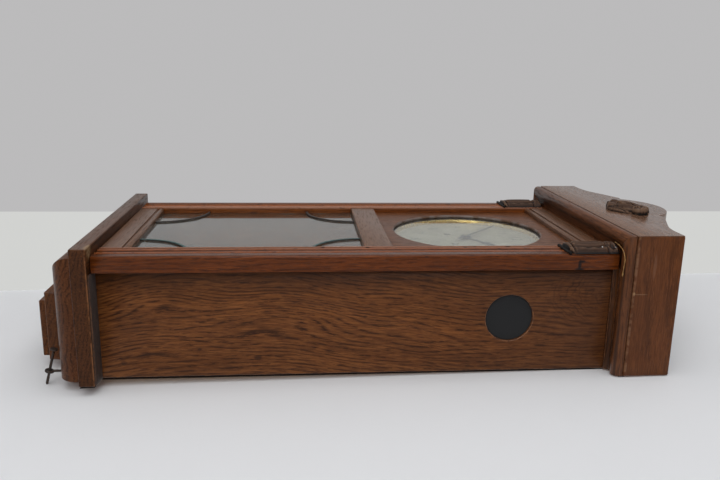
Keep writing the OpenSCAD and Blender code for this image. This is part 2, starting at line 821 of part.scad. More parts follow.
// Movement plates: every arbor's hole is cut through both
module movement_plate(y) {
    difference() {
        seen(y, y + mplate_t) eased([-mplate_x, z_dial - mplate_low], [mplate_x, z_dial + mplate_high], 4);
        for (p = [[third_x, third_up], [0, escape_up], [0, pivot_up], [pin_x, pin_z], [hammer_x, hammer_z]])
            rod_y(arbor_r + fit, y - cut, y + mplate_t + cut, p.x, z_dial + p.y);
        for (s = [-1, 1]) rod_y(wind_r + fit, y - cut, y + mplate_t + cut, s * wind_x, z_dial - wind_z);
        rod_y(centre_r + fit, y - cut, y + mplate_t + cut, 0, z_dial);
        pillar_places() rod_y(pillar_r / 2 + fit, y - cut, y + mplate_t + cut);
        children();
    }
}

module pillar_places() {
    for (x = [-1, 1] * (mplate_x - pillar_in),
        z = [z_dial - mplate_low + pillar_in, z_dial + mplate_high - pillar_in])
        translate([x, 0, z]) children();
}

module front_plate() color("gold") movement_plate(y_plate)
    rod_y(arbor_r + fit, y_plate - cut, y_room + cut, 0, z_dial - motion_d);

module back_plate() color("gold") movement_plate(y_rear);

module pillars() color("darkgoldenrod") pillar_places() union() {
    rod_y(pillar_r, y_room, y_rear);
    rod_y(pillar_r / 2, y_plate, y_movement);
    for (y = [y_plate - 2.5, y_movement])
        translate([0, y, 0]) rotate([-90, 0, 0]) cylinder(r = 3.6, h = 2.5, $fn = 6);
}

// Dial with its three feet, which stand on the front plate
foot_ring = 50;
module dial() color("gainsboro") difference() {
    union() {
        rod_y(dial_r, y_dial, y_dial + dial_t, 0, z_dial);
        for (a = [90, 210, 330])
            rod_y(2.2, y_dial + dial_t / 2, y_plate, foot_ring * cos(a), z_dial + foot_ring * sin(a));
    }
    rod_y(pipe_r + 0.8, y_dial - cut, y_dial + dial_t + cut, 0, z_dial);
    for (s = [-1, 1]) rod_y(wind_r + 2, y_dial - cut, y_dial + dial_t + cut, s * wind_x, z_dial - wind_z);
}

// Narrow ring whose inner wall slopes from the dial up to its rim
bezel_h = 5.2;
bezel_rim = 0.8;
module dial_bezel() color("gold") translate([0, y_dial, z_dial]) rotate([90, 0, 0]) rotate_extrude()
    polygon([[dial_r - bezel_w, 0], [dial_r, 0], [dial_r, bezel_h], [dial_r - bezel_rim, bezel_h],
        [dial_r - bezel_w, bezel_rim]]);

// Discs around the arbor: the hour hand's, the minute hand's and the nut's
hour_boss = 8;
minute_boss = 7;
nut_boss = 6.4;

// Hands drawn pointing up, then turned clockwise to the time at rest
module blade(y, a, outline) {
    seen(y - hand_t, y) rotate(-a) polygon(outline);
}

module minute_hand() color("midnightblue") translate([0, 0, z_dial]) difference() {
    union() {
        blade(y_minute, minute_a, [[-2.6, -18], [-1.2, 40], [-1.9, 50], [-0.5, minute_l],
            [0.5, minute_l], [1.9, 50], [1.2, 40], [2.6, -18]]);
        rod_y(minute_boss, y_minute - hand_t, y_minute);
    }
    rod_y(centre_r + fit / 2, y_minute - 2 * hand_t, y_minute + hand_t);
}

module hour_hand() color("midnightblue") translate([0, 0, z_dial]) difference() {
    spade = hour_l - 16;
    union() {
        blade(y_hour, hour_a, [[-2.2, 0], [-1.6, spade - 2], [1.6, spade - 2], [2.2, 0]]);
        blade(y_hour, hour_a, [[-5.2, spade + 2], [0, hour_l], [5.2, spade + 2]]);
        rod_y(5.6, y_hour - hand_t, y_hour, spade * sin(hour_a), spade * cos(hour_a));
        rod_y(hour_boss, y_hour - hand_t, y_hour);
    }
    rod_y(pipe_r + fit / 2, y_hour - 2 * hand_t, y_hour + hand_t);
}

module hand_nut() color("gold") translate([0, 0, z_dial]) difference() {
    rod_y(nut_boss, y_nut, y_minute - hand_t);
    rod_y(centre_r + fit / 2, y_nut - cut, y_minute);
}

// Centre arbor: great-wheel pinion in front, centre wheel behind, cannon pinion under the dial
great_y = y_room + 2;
centre_y = y_rear - 4;
module centre_arbor() color("gold") translate([0, 0, z_dial]) union() {
    rod_y(centre_r, y_nut + 0.2, y_movement);
    seen(great_y - 1, great_y + leaf_l - 1)
        leaves_outline(centre_pinion_z, great_m, great_phase + 180 / centre_pinion_z);
    seen(centre_y, centre_y + wheel_t) crossed_wheel(centre_z, centre_m, third_at, centre_r - 0.5);
    seen(motion_y - wheel_t - 0.3, motion_y + 0.3) leaves_outline(cannon_z, motion_m, 90);
}
great_phase = atan2(-wind_z, wind_x);
third_at = atan2(third_up, third_x);
escape_at = atan2(escape_up - third_up, -third_x);

module minute_wheel() color("gold") translate([0, 0, z_dial - motion_d]) union() {
    rod_y(arbor_r, motion_y - 6, y_room);
    seen(motion_y - wheel_t, motion_y)
        crossed_wheel(minute_z, motion_m, 90 + 180 / minute_z, arbor_r - 0.5, 4);
    seen(hour_y - 0.3, hour_y + wheel_t + 0.3) leaves_outline(minute_leaf_z, hour_m, 90);
}
hour_y = motion_y - 5.2;

module hour_wheel() color("gold") translate([0, 0, z_dial]) difference() {
    union() {
        seen(hour_y, hour_y + wheel_t) crossed_wheel(hour_z, hour_m, 270 + 180 / hour_z, pipe_hole, 4);
        rod_y(pipe_r, y_hour - hand_t, hour_y + wheel_t);
    }
    rod_y(pipe_hole, y_hour - 2 * hand_t, hour_y + 2 * wheel_t);
}

// A going barrel: great wheel on the drum's front end
module barrel(s, y, at) {
    translate([s * wind_x, 0, z_dial - wind_z]) difference() {
        union() {
            seen(y, y + 2) wheel_outline(great_z, great_m, at);
            rod_y(drum_r, y + 1, y_rear - 9);
            rod_y(drum_r + 1, y_rear - 11, y_rear - 9);
            rod_y(boss_r, y - 1.5, y_rear - 4);
        }
        rod_y(wind_r + fit, y - 3, y_rear);
    }
}

module time_barrel() color("gold") barrel(1, great_y, great_phase + 180);

strike_y = great_y + 5;
module strike_barrel() color("gold") barrel(-1, strike_y, pin_a);

module winding_arbor(s) {
    translate([s * wind_x, 0, z_dial - wind_z]) union() {
        rod_y(wind_r, y_dial + 6, y_movement);
        span([-2.1, y_dial - 0.8, -2.1], [2.1, y_dial + 7, 2.1]);
    }
}

module winding_arbor_time() color("silver") winding_arbor(1);

module winding_arbor_strike() color("silver") winding_arbor(-1);

module third_wheel() color("gold") translate([third_x, 0, z_dial + third_up]) union() {
    rod_y(arbor_r, y_plate, y_movement);
    seen(centre_y - 1, centre_y + leaf_l - 1) leaves_outline(leaf_z, centre_m, third_at + 180 + 180 / leaf_z);
    seen(centre_y - 12, centre_y - 12 + wheel_t) crossed_wheel(third_z, third_m, escape_at, arbor_r - 0.5);
}

escape_y = y_room + 20;
module escape_wheel() color("gold") translate([0, 0, z_dial + escape_up]) union() {
    rod_y(arbor_r, y_plate, y_movement);
    seen(centre_y - 13, centre_y - 13 + leaf_l)
        leaves_outline(leaf_z, third_m, escape_at + 180 + 180 / leaf_z);
    seen(escape_y, escape_y + wheel_t) difference() {
        polygon([for (i = [0 : escape_z - 1]) for (p = [[0, -2.6], [0.12, -2.6], [0.62, 0], [0.7, 0]])
            (escape_r + p[1]) * [cos((i + p[0]) * 360 / escape_z), sin((i + p[0]) * 360 / escape_z)]]);
        difference() {
            circle(escape_r - 4.4);
            circle(4);
            for (i = [0 : 3]) rotate(i * 90) translate([0, -0.8]) square([escape_r, 1.6]);
        }
    }
}

// Anchor, its arbor and the crutch that steers the rod
pallet_a = 48;
module pallet_anchor() color("silver") translate([0, 0, z_pivot]) union() {
    rod_y(arbor_r, y_plate, -swing_y - 8);
    seen(escape_y - 1, escape_y + wheel_t + 1) {
        rise = pivot_up - escape_up;
        circle(3.5);
        translate([0, -rise]) intersection() {
            difference() {
                circle(escape_r + 3.6);
                circle(escape_r + 1.1);
            }
            polygon([[0, 0], 30 * [sin(pallet_a + 4), cos(pallet_a + 4)], [0, 60],
                30 * [-sin(pallet_a + 4), cos(pallet_a + 4)]]);
        }
        translate([-2, escape_r + 2 - rise]) square([4, rise - escape_r]);
    }
    rod_y(3.5, y_movement + 6, y_movement + 10);
    span([-1.5, y_movement + 7, -crutch_l], [1.5, y_movement + 9, 0]);
    for (s = [-1, 1]) {
        fork_x = rod_w / 2 + fork_gap + fork_t / 2;
        span([s * fork_x - fork_t / 2, y_movement + 7, -crutch_l - 2],
            [s * fork_x + fork_t / 2, -swing_y + rod_t / 2 + 1, -crutch_l + 2]);
    }
    span([-rod_w / 2 - fork_gap - fork_t, y_movement + 7, -crutch_l - 2],
        [rod_w / 2 + fork_gap + fork_t, y_movement + 9, -crutch_l + 2]);
}
crutch_l = 56;

module pin_wheel() color("gold") translate([pin_x, 0, z_dial + pin_z]) union() {
    rod_y(arbor_r, y_plate, y_movement);
    seen(strike_y - 1, strike_y + leaf_l - 1)
        leaves_outline(centre_pinion_z, great_m, pin_a + 180 + 180 / centre_pinion_z);
    seen(centre_y, centre_y + wheel_t) difference() {
        circle(pin_r);
        difference() {
            circle(pin_r - 4);
            circle(4);
            for (i = [0 : 3]) rotate(i * 90 + 45) translate([0, -1]) square([pin_r - 2, 2]);
        }
    }
    for (i = [0 : 7]) rotate([0, i * 45, 0]) rod_y(0.7, centre_y - 3, centre_y + wheel_t / 2, pin_r - 2, 0);
}

// Hammer: one arm behind the movement, with a head for each gong rod
head_l = 11;
head_r = 4;
head_dx = gong_x + gong_r + hammer_gap - hammer_x;
arm_dx = head_dx + head_l - 3;
head_dz = gong_top - gong_block - 8 - z_dial - hammer_z;
module strike_hammer() color("silver") translate([hammer_x, 0, z_dial + hammer_z]) union() {
    rod_y(arbor_r, y_plate, gong_ys[0] - 3);
    rod_y(3, gong_ys[1] - 4, gong_ys[0] - 4);
    seen((gong_ys[0] + gong_ys[1]) / 2 - 1, (gong_ys[0] + gong_ys[1]) / 2 + 1)
        polygon([[-1.5, 0], [1.5, 0], [arm_dx + 1.5, head_dz], [arm_dx - 1.5, head_dz]]);
    rod_y(1.2, gong_ys[1], gong_ys[0], arm_dx, head_dz);
    for (y = gong_ys) translate([head_dx, y, head_dz]) rotate([0, 90, 0]) cylinder(r = head_r, h = head_l);
    seen(centre_y - 4, centre_y - 2.5) polygon([[-1.2, 0], [1.2, 0], [1.5, -9], [-1.5, -9]]);
}

// Two steel rods held in the bores of a cast block on the backboard
module rod_gong() color("dimgray") {
    difference() {
        span([gong_x - 10, -back_t - 30, gong_top - gong_block], [gong_x + 10, -back_t, gong_top]);
        for (y = gong_ys) translate([gong_x, y, gong_top - gong_block - cut])
            cylinder(r = gong_r + fit, h = 14 + cut);
    }
    for (y = gong_ys) translate([gong_x, y, gong_top - gong_block - gong_l])
        cylinder(r = gong_r, h = gong_l + 14 - fit);
}

// Cock on the back plate: an arm over the pendulum's top, two ears and the pin between them
module pendulum_cock() color("gold") translate([0, 0, z_pivot]) union() {
    span([-14, y_movement, 6], [14, y_movement + 3, 12]);
    span([-4, y_movement, 6], [4, -swing_y + cheek + ear_gap + ear_t, 11]);
    for (y = [-swing_y - cheek - ear_gap - ear_t, -swing_y + cheek + ear_gap])
        span([-4, y, -3.5], [4, y + ear_t, 8]);
    rod_y(hang_pin_r, -swing_y - cheek - ear_gap - ear_t / 2, -swing_y + cheek + ear_gap + ear_t / 2);
}

// Block on the cock's pin, thin spring, and the socket that holds the rod's top
socket_h = 14;
module suspension_spring() color("silver") translate([0, -swing_y, z_pivot]) union() {
    difference() {
        span([-4, -cheek, -block_l], [4, cheek, 3.5]);
        rod_y(hang_pin_r + fit, -cheek - cut, cheek + cut);
    }
    span([-3, -0.15, -block_l - spring_l - 1], [3, 0.15, -block_l + 1]);
    difference() {
        span([-rod_w / 2 - 1.5, -rod_t / 2 - 1.5, -block_l - spring_l - socket_h],
            [rod_w / 2 + 1.5, rod_t / 2 + 1.5, -block_l - spring_l]);
        span([-rod_w / 2 - fit, -rod_t / 2 - fit, -block_l - spring_l - socket_h - cut],
            [rod_w / 2 + fit, rod_t / 2 + fit, -block_l - spring_l - 3]);
    }
}

// Wooden rod with the regulating screw in its foot
rod_top = z_pivot - block_l - spring_l - 3 - fit;
rod_foot = z_bob - bob_r + 6;
module pendulum_rod() color("burlywood") union() {
    span([-rod_w / 2, -swing_y - rod_t / 2, rod_foot], [rod_w / 2, -swing_y + rod_t / 2, rod_top]);
    translate([0, -swing_y, z_bob - bob_r - 22]) cylinder(r = regulator_r, h = 30);
}

// A lens of brass with a slot for the rod
rim_t = 2;
function lens(y) = [for (i = [0 : 8])
    [bob_r * i / 8, y * (rim_t / 2 + (bob_t - rim_t) / 2 * (1 - i * i / 64))]];
module pendulum_bob() color("gold") difference() {
    translate([0, -swing_y, z_bob]) rotate([90, 0, 0]) rotate_extrude() {
        under = lens(-1);
        polygon(concat(lens(1), [for (i = [8 : -1 : 0]) under[i]]));
    }
    span([-rod_w / 2 - 0.2, -swing_y - rod_t / 2 - 0.2, z_bob - bob_r - cut],
        [rod_w / 2 + 0.2, -swing_y + rod_t / 2 + 0.2, z_bob + bob_r + cut]);
}

module rating_nut() color("gold") translate([0, -swing_y, z_bob - bob_r - 0.3 - nut_h]) difference() {
    cylinder(r = nut_r, h = nut_h);
    translate([0, 0, -cut]) cylinder(r = regulator_r + fit, h = nut_h + 2 * cut);
}

backboard();
side_panel_right();
side_panel_left();
case_top_board();
plinth_board();
bullnose_board();
base_block();
base_plate();
side_strips();
cornice_moulding();
crest_front();
crest_returns();
crest_carving();
sound_cloths();
hanger_plate();
hanger_screws();
stabiliser_eyes();
stabiliser_screw_right();
stabiliser_screw_left();
door_stile_right();
door_stile_left();
door_top_rail();
door_mid_rail();
door_bottom_rail();
lower_glass();
dial_glass();
dial_mask();
glazing_arcs();
capitals();
hinge_case_leaves();
hinge_door_leaves();
catch_clip();
catch_stud();
movement_brackets();
front_plate();
back_plate();
pillars();
dial();
dial_bezel();
minute_hand();
hour_hand();
hand_nut();
centre_arbor();
hour_wheel();
minute_wheel();
time_barrel();
strike_barrel();
winding_arbor_time();
winding_arbor_strike();
third_wheel();
escape_wheel();
pallet_anchor();
pin_wheel();
strike_hammer();
rod_gong();
pendulum_cock();
suspension_spring();
pendulum_rod();
pendulum_bob();
rating_nut();
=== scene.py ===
# %% [markdown]
# # A hanging oak clock, laid on its back
#
# The construction model gives the size and the place of every piece. This lesson
# dresses them: each board gets its grain, its eased edges and its wear, the
# carvings are cut, the dial is printed, and the whole is lit and photographed.

# %% Load the construction model
import json
from math import cos, exp, hypot, pi, radians, sin, sqrt

import bmesh
import bpy
from mathutils import Matrix, Vector, noise


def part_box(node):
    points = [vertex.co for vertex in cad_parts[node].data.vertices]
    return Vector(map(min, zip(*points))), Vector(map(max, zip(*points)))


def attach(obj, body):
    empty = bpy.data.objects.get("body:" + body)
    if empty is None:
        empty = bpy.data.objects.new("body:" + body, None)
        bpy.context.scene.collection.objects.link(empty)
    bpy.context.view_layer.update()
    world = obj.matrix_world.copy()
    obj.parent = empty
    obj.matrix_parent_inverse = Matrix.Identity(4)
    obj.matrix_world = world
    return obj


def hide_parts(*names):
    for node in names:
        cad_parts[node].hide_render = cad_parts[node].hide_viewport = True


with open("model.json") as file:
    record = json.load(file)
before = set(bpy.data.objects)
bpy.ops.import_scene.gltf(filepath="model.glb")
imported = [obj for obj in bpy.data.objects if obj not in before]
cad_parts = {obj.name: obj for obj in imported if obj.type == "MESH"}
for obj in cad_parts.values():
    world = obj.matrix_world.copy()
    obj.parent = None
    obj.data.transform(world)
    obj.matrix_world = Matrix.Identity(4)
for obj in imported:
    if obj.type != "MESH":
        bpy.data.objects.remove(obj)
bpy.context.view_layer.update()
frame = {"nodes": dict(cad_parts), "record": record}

# %% [markdown]
# ## The camera
#
# The picture was taken from beside the clock, some 90 cm away and 20 cm above
# its door. The clock lies on its back, so up in the picture is forward on the
# clock, the direction -Y. The three directions below are the picture's right,
# its down, and the way that the lens looks.

# %% Camera
def stood(name, data):
    """An object made from its data and put into the scene."""
    made = bpy.data.objects.new(name, data)
    bpy.context.scene.collection.objects.link(made)
    return made


lens_at = Vector((0.9229, -0.3556, -0.4085))
look = Vector((-0.9666, 0.2407, 0.0879)).normalized()
across = Vector((0.0863, -0.0174, 0.9961))
across = (across - look * across.dot(look)).normalized()
below = look.cross(across)
lens = bpy.data.cameras.new("lens")
lens.lens = 35.79
lens.sensor_width = 36.0
camera = stood("camera", lens)
turn = Matrix((across, -below, -look)).transposed().to_4x4()
camera.matrix_world = Matrix.Translation(lens_at) @ turn
bpy.context.scene.camera = camera
bpy.context.scene.view_settings.view_transform = "Standard"
print("camera looks along", [round(v, 3) for v in look])

# %% [markdown]
# ## Writing materials as nodes
#
# A material is a small graph. The first helpers add one node, give it its
# settings, and either set each input or connect it to the output of another
# node, so that a graph reads from top to bottom like a recipe. The others are
# the few steps that come again and again. An output knows its own graph, so
# only a node that nothing feeds has to be told where it belongs.

# %% Adding nodes
def linked(value):
    return isinstance(value, bpy.types.NodeSocket)


def add(tree, kind, feeds=None, **settings):
    made = tree.nodes.new("ShaderNode" + kind)
    for key, value in settings.items():
        setattr(made, key, value)
    for key, value in (feeds or {}).items():
        if linked(value):
            tree.links.new(value, made.inputs[key])
        else:
            made.inputs[key].default_value = value
    return made


def blank(name, **sockets):
    material = bpy.data.materials.new(name)
    material.use_nodes = True
    surface = material.node_tree.nodes["Principled BSDF"]
    for key, value in sockets.items():
        surface.inputs[key.replace("_", " ")].default_value = value
    return material, material.node_tree, surface


def coat(surface, tone, rough=None, height=None, strength=0.0, depth=0.0):
    """Give a surface its colour, its roughness, and the height that its bump is read from."""
    tree = surface.id_data
    tree.links.new(tone, surface.inputs["Base Color"])
    if rough is not None:
        tree.links.new(rough, surface.inputs["Roughness"])
    if height is not None:
        bump = add(tree, "Bump", {"Strength": strength, "Distance": depth, "Height": height})
        tree.links.new(bump.outputs[0], surface.inputs["Normal"])


print("helpers for nodes:", [step.__name__ for step in (add, blank, coat)])

# %% Sums, noise and mixing
def sums(how, *values):
    tree = next(value.id_data for value in values if linked(value))
    return add(tree, "Math", dict(enumerate(values)), operation=how).outputs[0]


def times(first, second):
    return sums("MULTIPLY", first, second)


def between(value, low, high, to_low=0.0, to_high=1.0):
    return add(value.id_data, "MapRange", {0: value, 1: low, 2: high, 3: to_low, 4: to_high}).outputs[0]


def grainy(where, waves, detail=4.0, rough=0.55):
    """Noise with so many waves to the metre along X, Y and Z, or the same along all three."""
    waves = waves if isinstance(waves, tuple) else (waves, waves, waves)
    where = add(where.id_data, "VectorMath", {0: where, 1: waves}, operation="MULTIPLY").outputs[0]
    feeds = {"Vector": where, "Scale": 1.0, "Detail": detail, "Roughness": rough}
    return add(where.id_data, "TexNoise", feeds).outputs["Fac"]


def blend(share, first, second):
    first, second = (tone if linked(tone) else (*tone, 1.0) for tone in (first, second))
    return add(share.id_data, "Mix", {0: share, 6: first, 7: second}, data_type="RGBA").outputs[2]


def stain(wood, share, power, colour):
    """The wood with a colour on it, as strong as share and power say together."""
    return blend(times(share, power), wood, colour)


print("helpers for values and colours:",
      [step.__name__ for step in (sums, times, between, grainy, blend, stain)])

# %% Places on the clock
def place(tree):
    return add(tree, "TexCoord").outputs["Object"]


def ways(where):
    return add(where.id_data, "SeparateXYZ", {0: where}).outputs


def near(parts, centre, reach):
    """1 at a point of the clock, fading to 0 at the edge of an egg-shaped reach, in metres."""
    total = None
    for axis, middle, far in zip("XYZ", centre, reach):
        if far is None:
            continue
        gap = sums("DIVIDE", sums("SUBTRACT", parts[axis], middle), far)
        gap = times(gap, gap)
        total = gap if total is None else sums("ADD", total, gap)
    return between(total, 1.0, 0.25)


print("helpers for places:", [step.__name__ for step in (place, ways, near)])

# %% [markdown]
# ## Oak
#
# The case is plain-sawn oak under an old satin varnish. Three things make it
# look like oak: growth rings, which a flat cut turns into long wandering lines
# and arches; short dark strokes, where the open pores of the spring wood are
# cut; and a fine silk between them. The rings are the contour lines of a
# distance that slow noise has bent. The strokes are noise stretched along the
# board, and they are strongest beside each ring line, as in the tree.

# %% Oak material
WOOD_MID = (0.128, 0.0405, 0.0112)
WOOD_LIGHT = (0.205, 0.073, 0.02)
WOOD_DARK = (0.034, 0.0115, 0.004)


def oak(name, axes, mid=WOOD_MID, light=WOOD_LIGHT, dark=WOOD_DARK, shift=0.0, rings=170.0, swirl=0.05,
        lean=0.35, contrast=1.0, gloss=0.3, level=0.2, relief=0.3, marks=None, swells=(), sway=0.0):
    material, tree, surface = blank(name)
    where = place(tree)
    parts = ways(where)
    grain_way, face_way, deep_way = (parts[axis] for axis in axes)
    along = sums("ADD", grain_way, shift)
    over = face_way
    for turns, start, reach in ((7.85, 5.5, 0.018), (41.0, 0.0, 0.0016)) if sway else ():
        bend = sums("SINE", sums("MULTIPLY_ADD", along, turns, start))
        over = sums("MULTIPLY_ADD", bend, reach * sway, over)
    board = add(tree, "CombineXYZ", {0: along, 1: over, 2: deep_way}).outputs[0]
    bent = sums("ADD", over, times(deep_way, lean))
    bent = sums("ADD", bent, times(grainy(board, (3.4, 13.0, 13.0), 2.0), swirl))
    bent = sums("ADD", bent, times(grainy(board, (15.0, 85.0, 85.0), 2.0), 0.007))
    for at_grain, at_face, long, wide, lift in swells:
        gap_along = sums("DIVIDE", sums("SUBTRACT", grain_way, at_grain), long)
        gap_over = sums("DIVIDE", sums("SUBTRACT", face_way, at_face), wide)
        hill = sums("ADD", times(gap_along, gap_along), times(gap_over, gap_over))
        hill = sums("EXPONENT", times(hill, -1.0))
        bent = sums("MULTIPLY_ADD", hill, lift, bent)
    ring = sums("FRACT", times(bent, rings))
    line = between(sums("ABSOLUTE", sums("SUBTRACT", ring, 0.5)), 0.2, 0.47)
    dashes = between(grainy(board, (75.0, 520.0, 520.0), 3.0, 0.65), 0.45, 0.57)
    patch = between(grainy(board, (26.0, 130.0, 130.0), 3.0, 0.6), 0.46, 0.57)
    fine = between(grainy(board, (60.0, 800.0, 800.0), 3.0, 0.7), 0.36, 0.64)
    wood = blend(fine, mid, light)
    cloud = between(grainy(board, (7.0, 22.0, 22.0), 3.0), 0.36, 0.68)
    wood = stain(wood, cloud, 0.45 * contrast, tuple(v * 0.62 for v in mid))
    stroke = times(sums("MULTIPLY_ADD", line, 0.75, 0.25), dashes)
    stroke = sums("MAXIMUM", stroke, times(patch, times(line, 0.9)))
    wood = stain(wood, stroke, min(1.0, 0.92 * contrast), dark)
    warm = between(grainy(board, (24.0, 330.0, 330.0), 3.0, 0.6), 0.54, 0.66)
    wood = stain(wood, warm, 0.3 * contrast, tuple(v * 1.4 for v in light))
    pores = between(grainy(board, (55.0, 900.0, 900.0), 2.0, 0.5), 0.58, 0.66)
    wood = stain(wood, pores, 0.55 * contrast, tuple(v * 0.55 for v in dark))
    if marks:
        wood = marks(wood, where, parts, board)
    surface.inputs["Specular IOR Level"].default_value = level
    height = sums("SUBTRACT", times(fine, 0.35), sums("ADD", pores, stroke))
    coat(surface, wood, sums("MULTIPLY_ADD", pores, 0.25, gloss), height, relief, 0.00035)
    return material


print("oak is ready in the colour", WOOD_MID)

# %% [markdown]
# ## Where this clock is marked
#
# A worn piece is marked where hands, damp and other things met it, so each mark
# is put at its own place on the clock, in metres, and not scattered at random.
# Some marks are painted light and shade. The side has painted shade under the
# door's edge and towards its top end, a few knots, and a tongue of close rings
# beside its hole. The door's side has an old stain; the stiles have a painted
# sheen on their raised faces and painted shade in the grooves between their
# reeds. The crest's side has a pale dot and a painted highlight along its lower
# edge, the cornice painted shade along its corners, the plinth a bare corner,
# and the plinth's top and the strip below it dust with a painted grey sheen.

# %% Marks on the side panel
# The height, depth, size and strength of each knot.
KNOTS = ((-0.4539, -0.021, 0.0036, 0.6), (-0.6056, -0.0179, 0.003, 0.5),
         (-0.52, -0.033, 0.002, 0.6), (-0.33, -0.07, 0.002, 0.5))


def side_marks(wood, where, parts, board):
    rough = grainy(board, 60.0, 3.0)
    edge = sums("MULTIPLY_ADD", rough, 0.012, -0.006)
    # Painted shade under the door's overhanging edge, with a ragged border.
    painted_shade_under_door = between(sums("ADD", parts["Y"], edge), -0.098, -0.126)
    wood = stain(wood, painted_shade_under_door, 0.62, (0.034, 0.0145, 0.008))
    # Painted shade, darker towards the top end of the side.
    painted_shade_top_end = between(parts["Z"], -0.24, -0.06)
    wood = stain(wood, painted_shade_top_end, 0.48, (0.05, 0.0185, 0.0085))
    for z, y, size, power in KNOTS:
        wood = stain(wood, near(parts, (0, y, z), (None, size, size * 1.5)), power, (0.018, 0.008, 0.005))
    lean = sums("ADD", parts["Y"], 0.097)
    lean = times(times(lean, lean), 24.0)
    tongue = sums("MULTIPLY_ADD", rough, 0.026, sums("SUBTRACT", parts["Z"], lean))
    tongue = between(sums("SINE", times(tongue, 780.0)), 0.15, 1.0)
    beside_hole = near(parts, (0, -0.09, -0.082), (None, 0.034, 0.04))
    beside_hole = times(beside_hole, between(rough, 0.62, 0.38, 0.2, 0.6))
    return stain(wood, tongue, beside_hole, (0.03, 0.012, 0.006))


print("the side panel has", len(KNOTS), "knots")

# %% Marks on the door and on the crest
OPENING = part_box("door_stile_right")[0][0]
DIAL_Z = -0.1815

# How far the bands on the stile's face lie from the opening, and where its front and its ridges stand.
EDGE_BAND, REEDS, GROOVES = 0.0075, 0.026, (0.013, 0.0257)
STILE_Y, RIDGE_Y = -0.144, -0.1462
print("the stile's inner edge stands at", round(OPENING, 5), "and the dial's centre at", DIAL_Z)


def door_marks(wood, where, parts, board):
    for y, z, tall, wide in ((-0.1335, -0.084, 0.008, 0.0024), (-0.1282, -0.084, 0.0022, 0.0066),
                             (-0.138, -0.0815, 0.0018, 0.0046)):
        wood = stain(wood, near(parts, (0.1553, y, z), (0.006, tall, wide)), 0.95, (0.01, 0.006, 0.005))
    across = sums("ABSOLUTE", parts["X"])
    raised = between(parts["Y"], STILE_Y, RIDGE_Y)
    # Painted sheen: a pale band on the raised face beside the opening.
    inner = times(raised, between(across, OPENING + EDGE_BAND + 0.003, OPENING + EDGE_BAND))
    wood = stain(wood, inner, 0.8, (0.33, 0.195, 0.14))
    reed = times(raised, between(across, OPENING + REEDS + 0.003, OPENING + REEDS))
    wood = stain(wood, reed, 0.5, (0.29, 0.088, 0.03))
    outer = times(between(parts["Y"], RIDGE_Y, RIDGE_Y - 0.0005),
                  between(across, OPENING + REEDS + 0.003, OPENING + REEDS + 0.004))
    wood = stain(wood, outer, 0.45, (0.07, 0.03, 0.016))
    line_breaks = between(grainy(board, (60.0, 300.0, 300.0), 3.0), 0.34, 0.52, 0.35, 0.95)
    # Painted shade in the grooves between the reeds, broken into dashes.
    for groove in GROOVES:
        groove_shade = between(sums("ABSOLUTE", sums("SUBTRACT", across, OPENING + groove)), 0.002, 0.0008)
        wood = stain(wood, times(groove_shade, line_breaks), raised, (0.014, 0.0055, 0.0035))
    nick = between(grainy(board, (95.0, 420.0, 420.0), 2.0, 0.4), 0.665, 0.7)
    front = between(parts["Y"], STILE_Y + 0.0006, STILE_Y)
    return stain(wood, times(nick, front), 0.85, (0.02, 0.009, 0.006))


def mask_marks(wood, where, parts, board):
    flat = add(where.id_data, "CombineXYZ", {0: parts["X"], 2: parts["Z"]}).outputs[0]
    reach = add(where.id_data, "VectorMath", {0: flat, 1: (0.0, 0.0, DIAL_Z)}, operation="DISTANCE")
    # The lip is painted a greyer brown as sheen, with pale streaks of painted highlight.
    lip_highlights = between(grainy(where, (70.0, 20.0, 70.0), 2.0), 0.42, 0.56)
    lip = between(reach.outputs["Value"], 0.0992, 0.098, 0.0, 0.6)
    wood = blend(lip, wood, (0.08, 0.05, 0.034))
    return stain(wood, lip, lip_highlights, (0.19, 0.16, 0.15))


def crest_marks(wood, where, parts, board):
    line_breaks = between(grainy(where, 140.0, 3.0), 0.36, 0.58)
    # A painted highlight along the lower edge of the crest's side, broken into dashes.
    low_edge_highlight = times(between(parts["Z"], -0.0208, -0.0216), line_breaks)
    wood = stain(wood, low_edge_highlight, 0.5, (0.25, 0.13, 0.07))
    dot = near(parts, (0, -0.1026, -0.0222), (None, 0.0022, 0.0016))
    wood = stain(wood, dot, 0.45, (0.42, 0.27, 0.13))
    scratch = near(parts, (0, -0.1018, -0.015), (None, 0.0007, 0.01))
    wood = stain(wood, scratch, 0.35, (0.3, 0.19, 0.11))
    rub = near(parts, (0, -0.135, -0.001), (None, 0.018, 0.0022))
    return stain(wood, rub, 0.22, (0.3, 0.15, 0.09))


# %% Painted shade in the corners of the cornice
# The height, half width and strength of each line of painted shade; the widest goes all round.
PAINTED_SHADE_LINES = ((-0.0222, 0.0036, 0.9), (-0.0348, 0.0011, 0.65), (-0.0395, 0.0005, 0.35))


def moulding_marks(wood, where, parts, board):
    sides = between(parts["Y"], -0.162, -0.158)
    # Painted shade in lines along the cornice's corners and hollows.
    for z, half, power in PAINTED_SHADE_LINES:
        line = between(sums("ABSOLUTE", sums("SUBTRACT", parts["Z"], z)), half, half * 0.3)
        all_round = half > 0.002
        wood = stain(wood, line, power if all_round else times(sides, power), (0.016, 0.007, 0.004))
    return wood


print("dirty lines in the cornice at", [line[0] for line in PAINTED_SHADE_LINES])

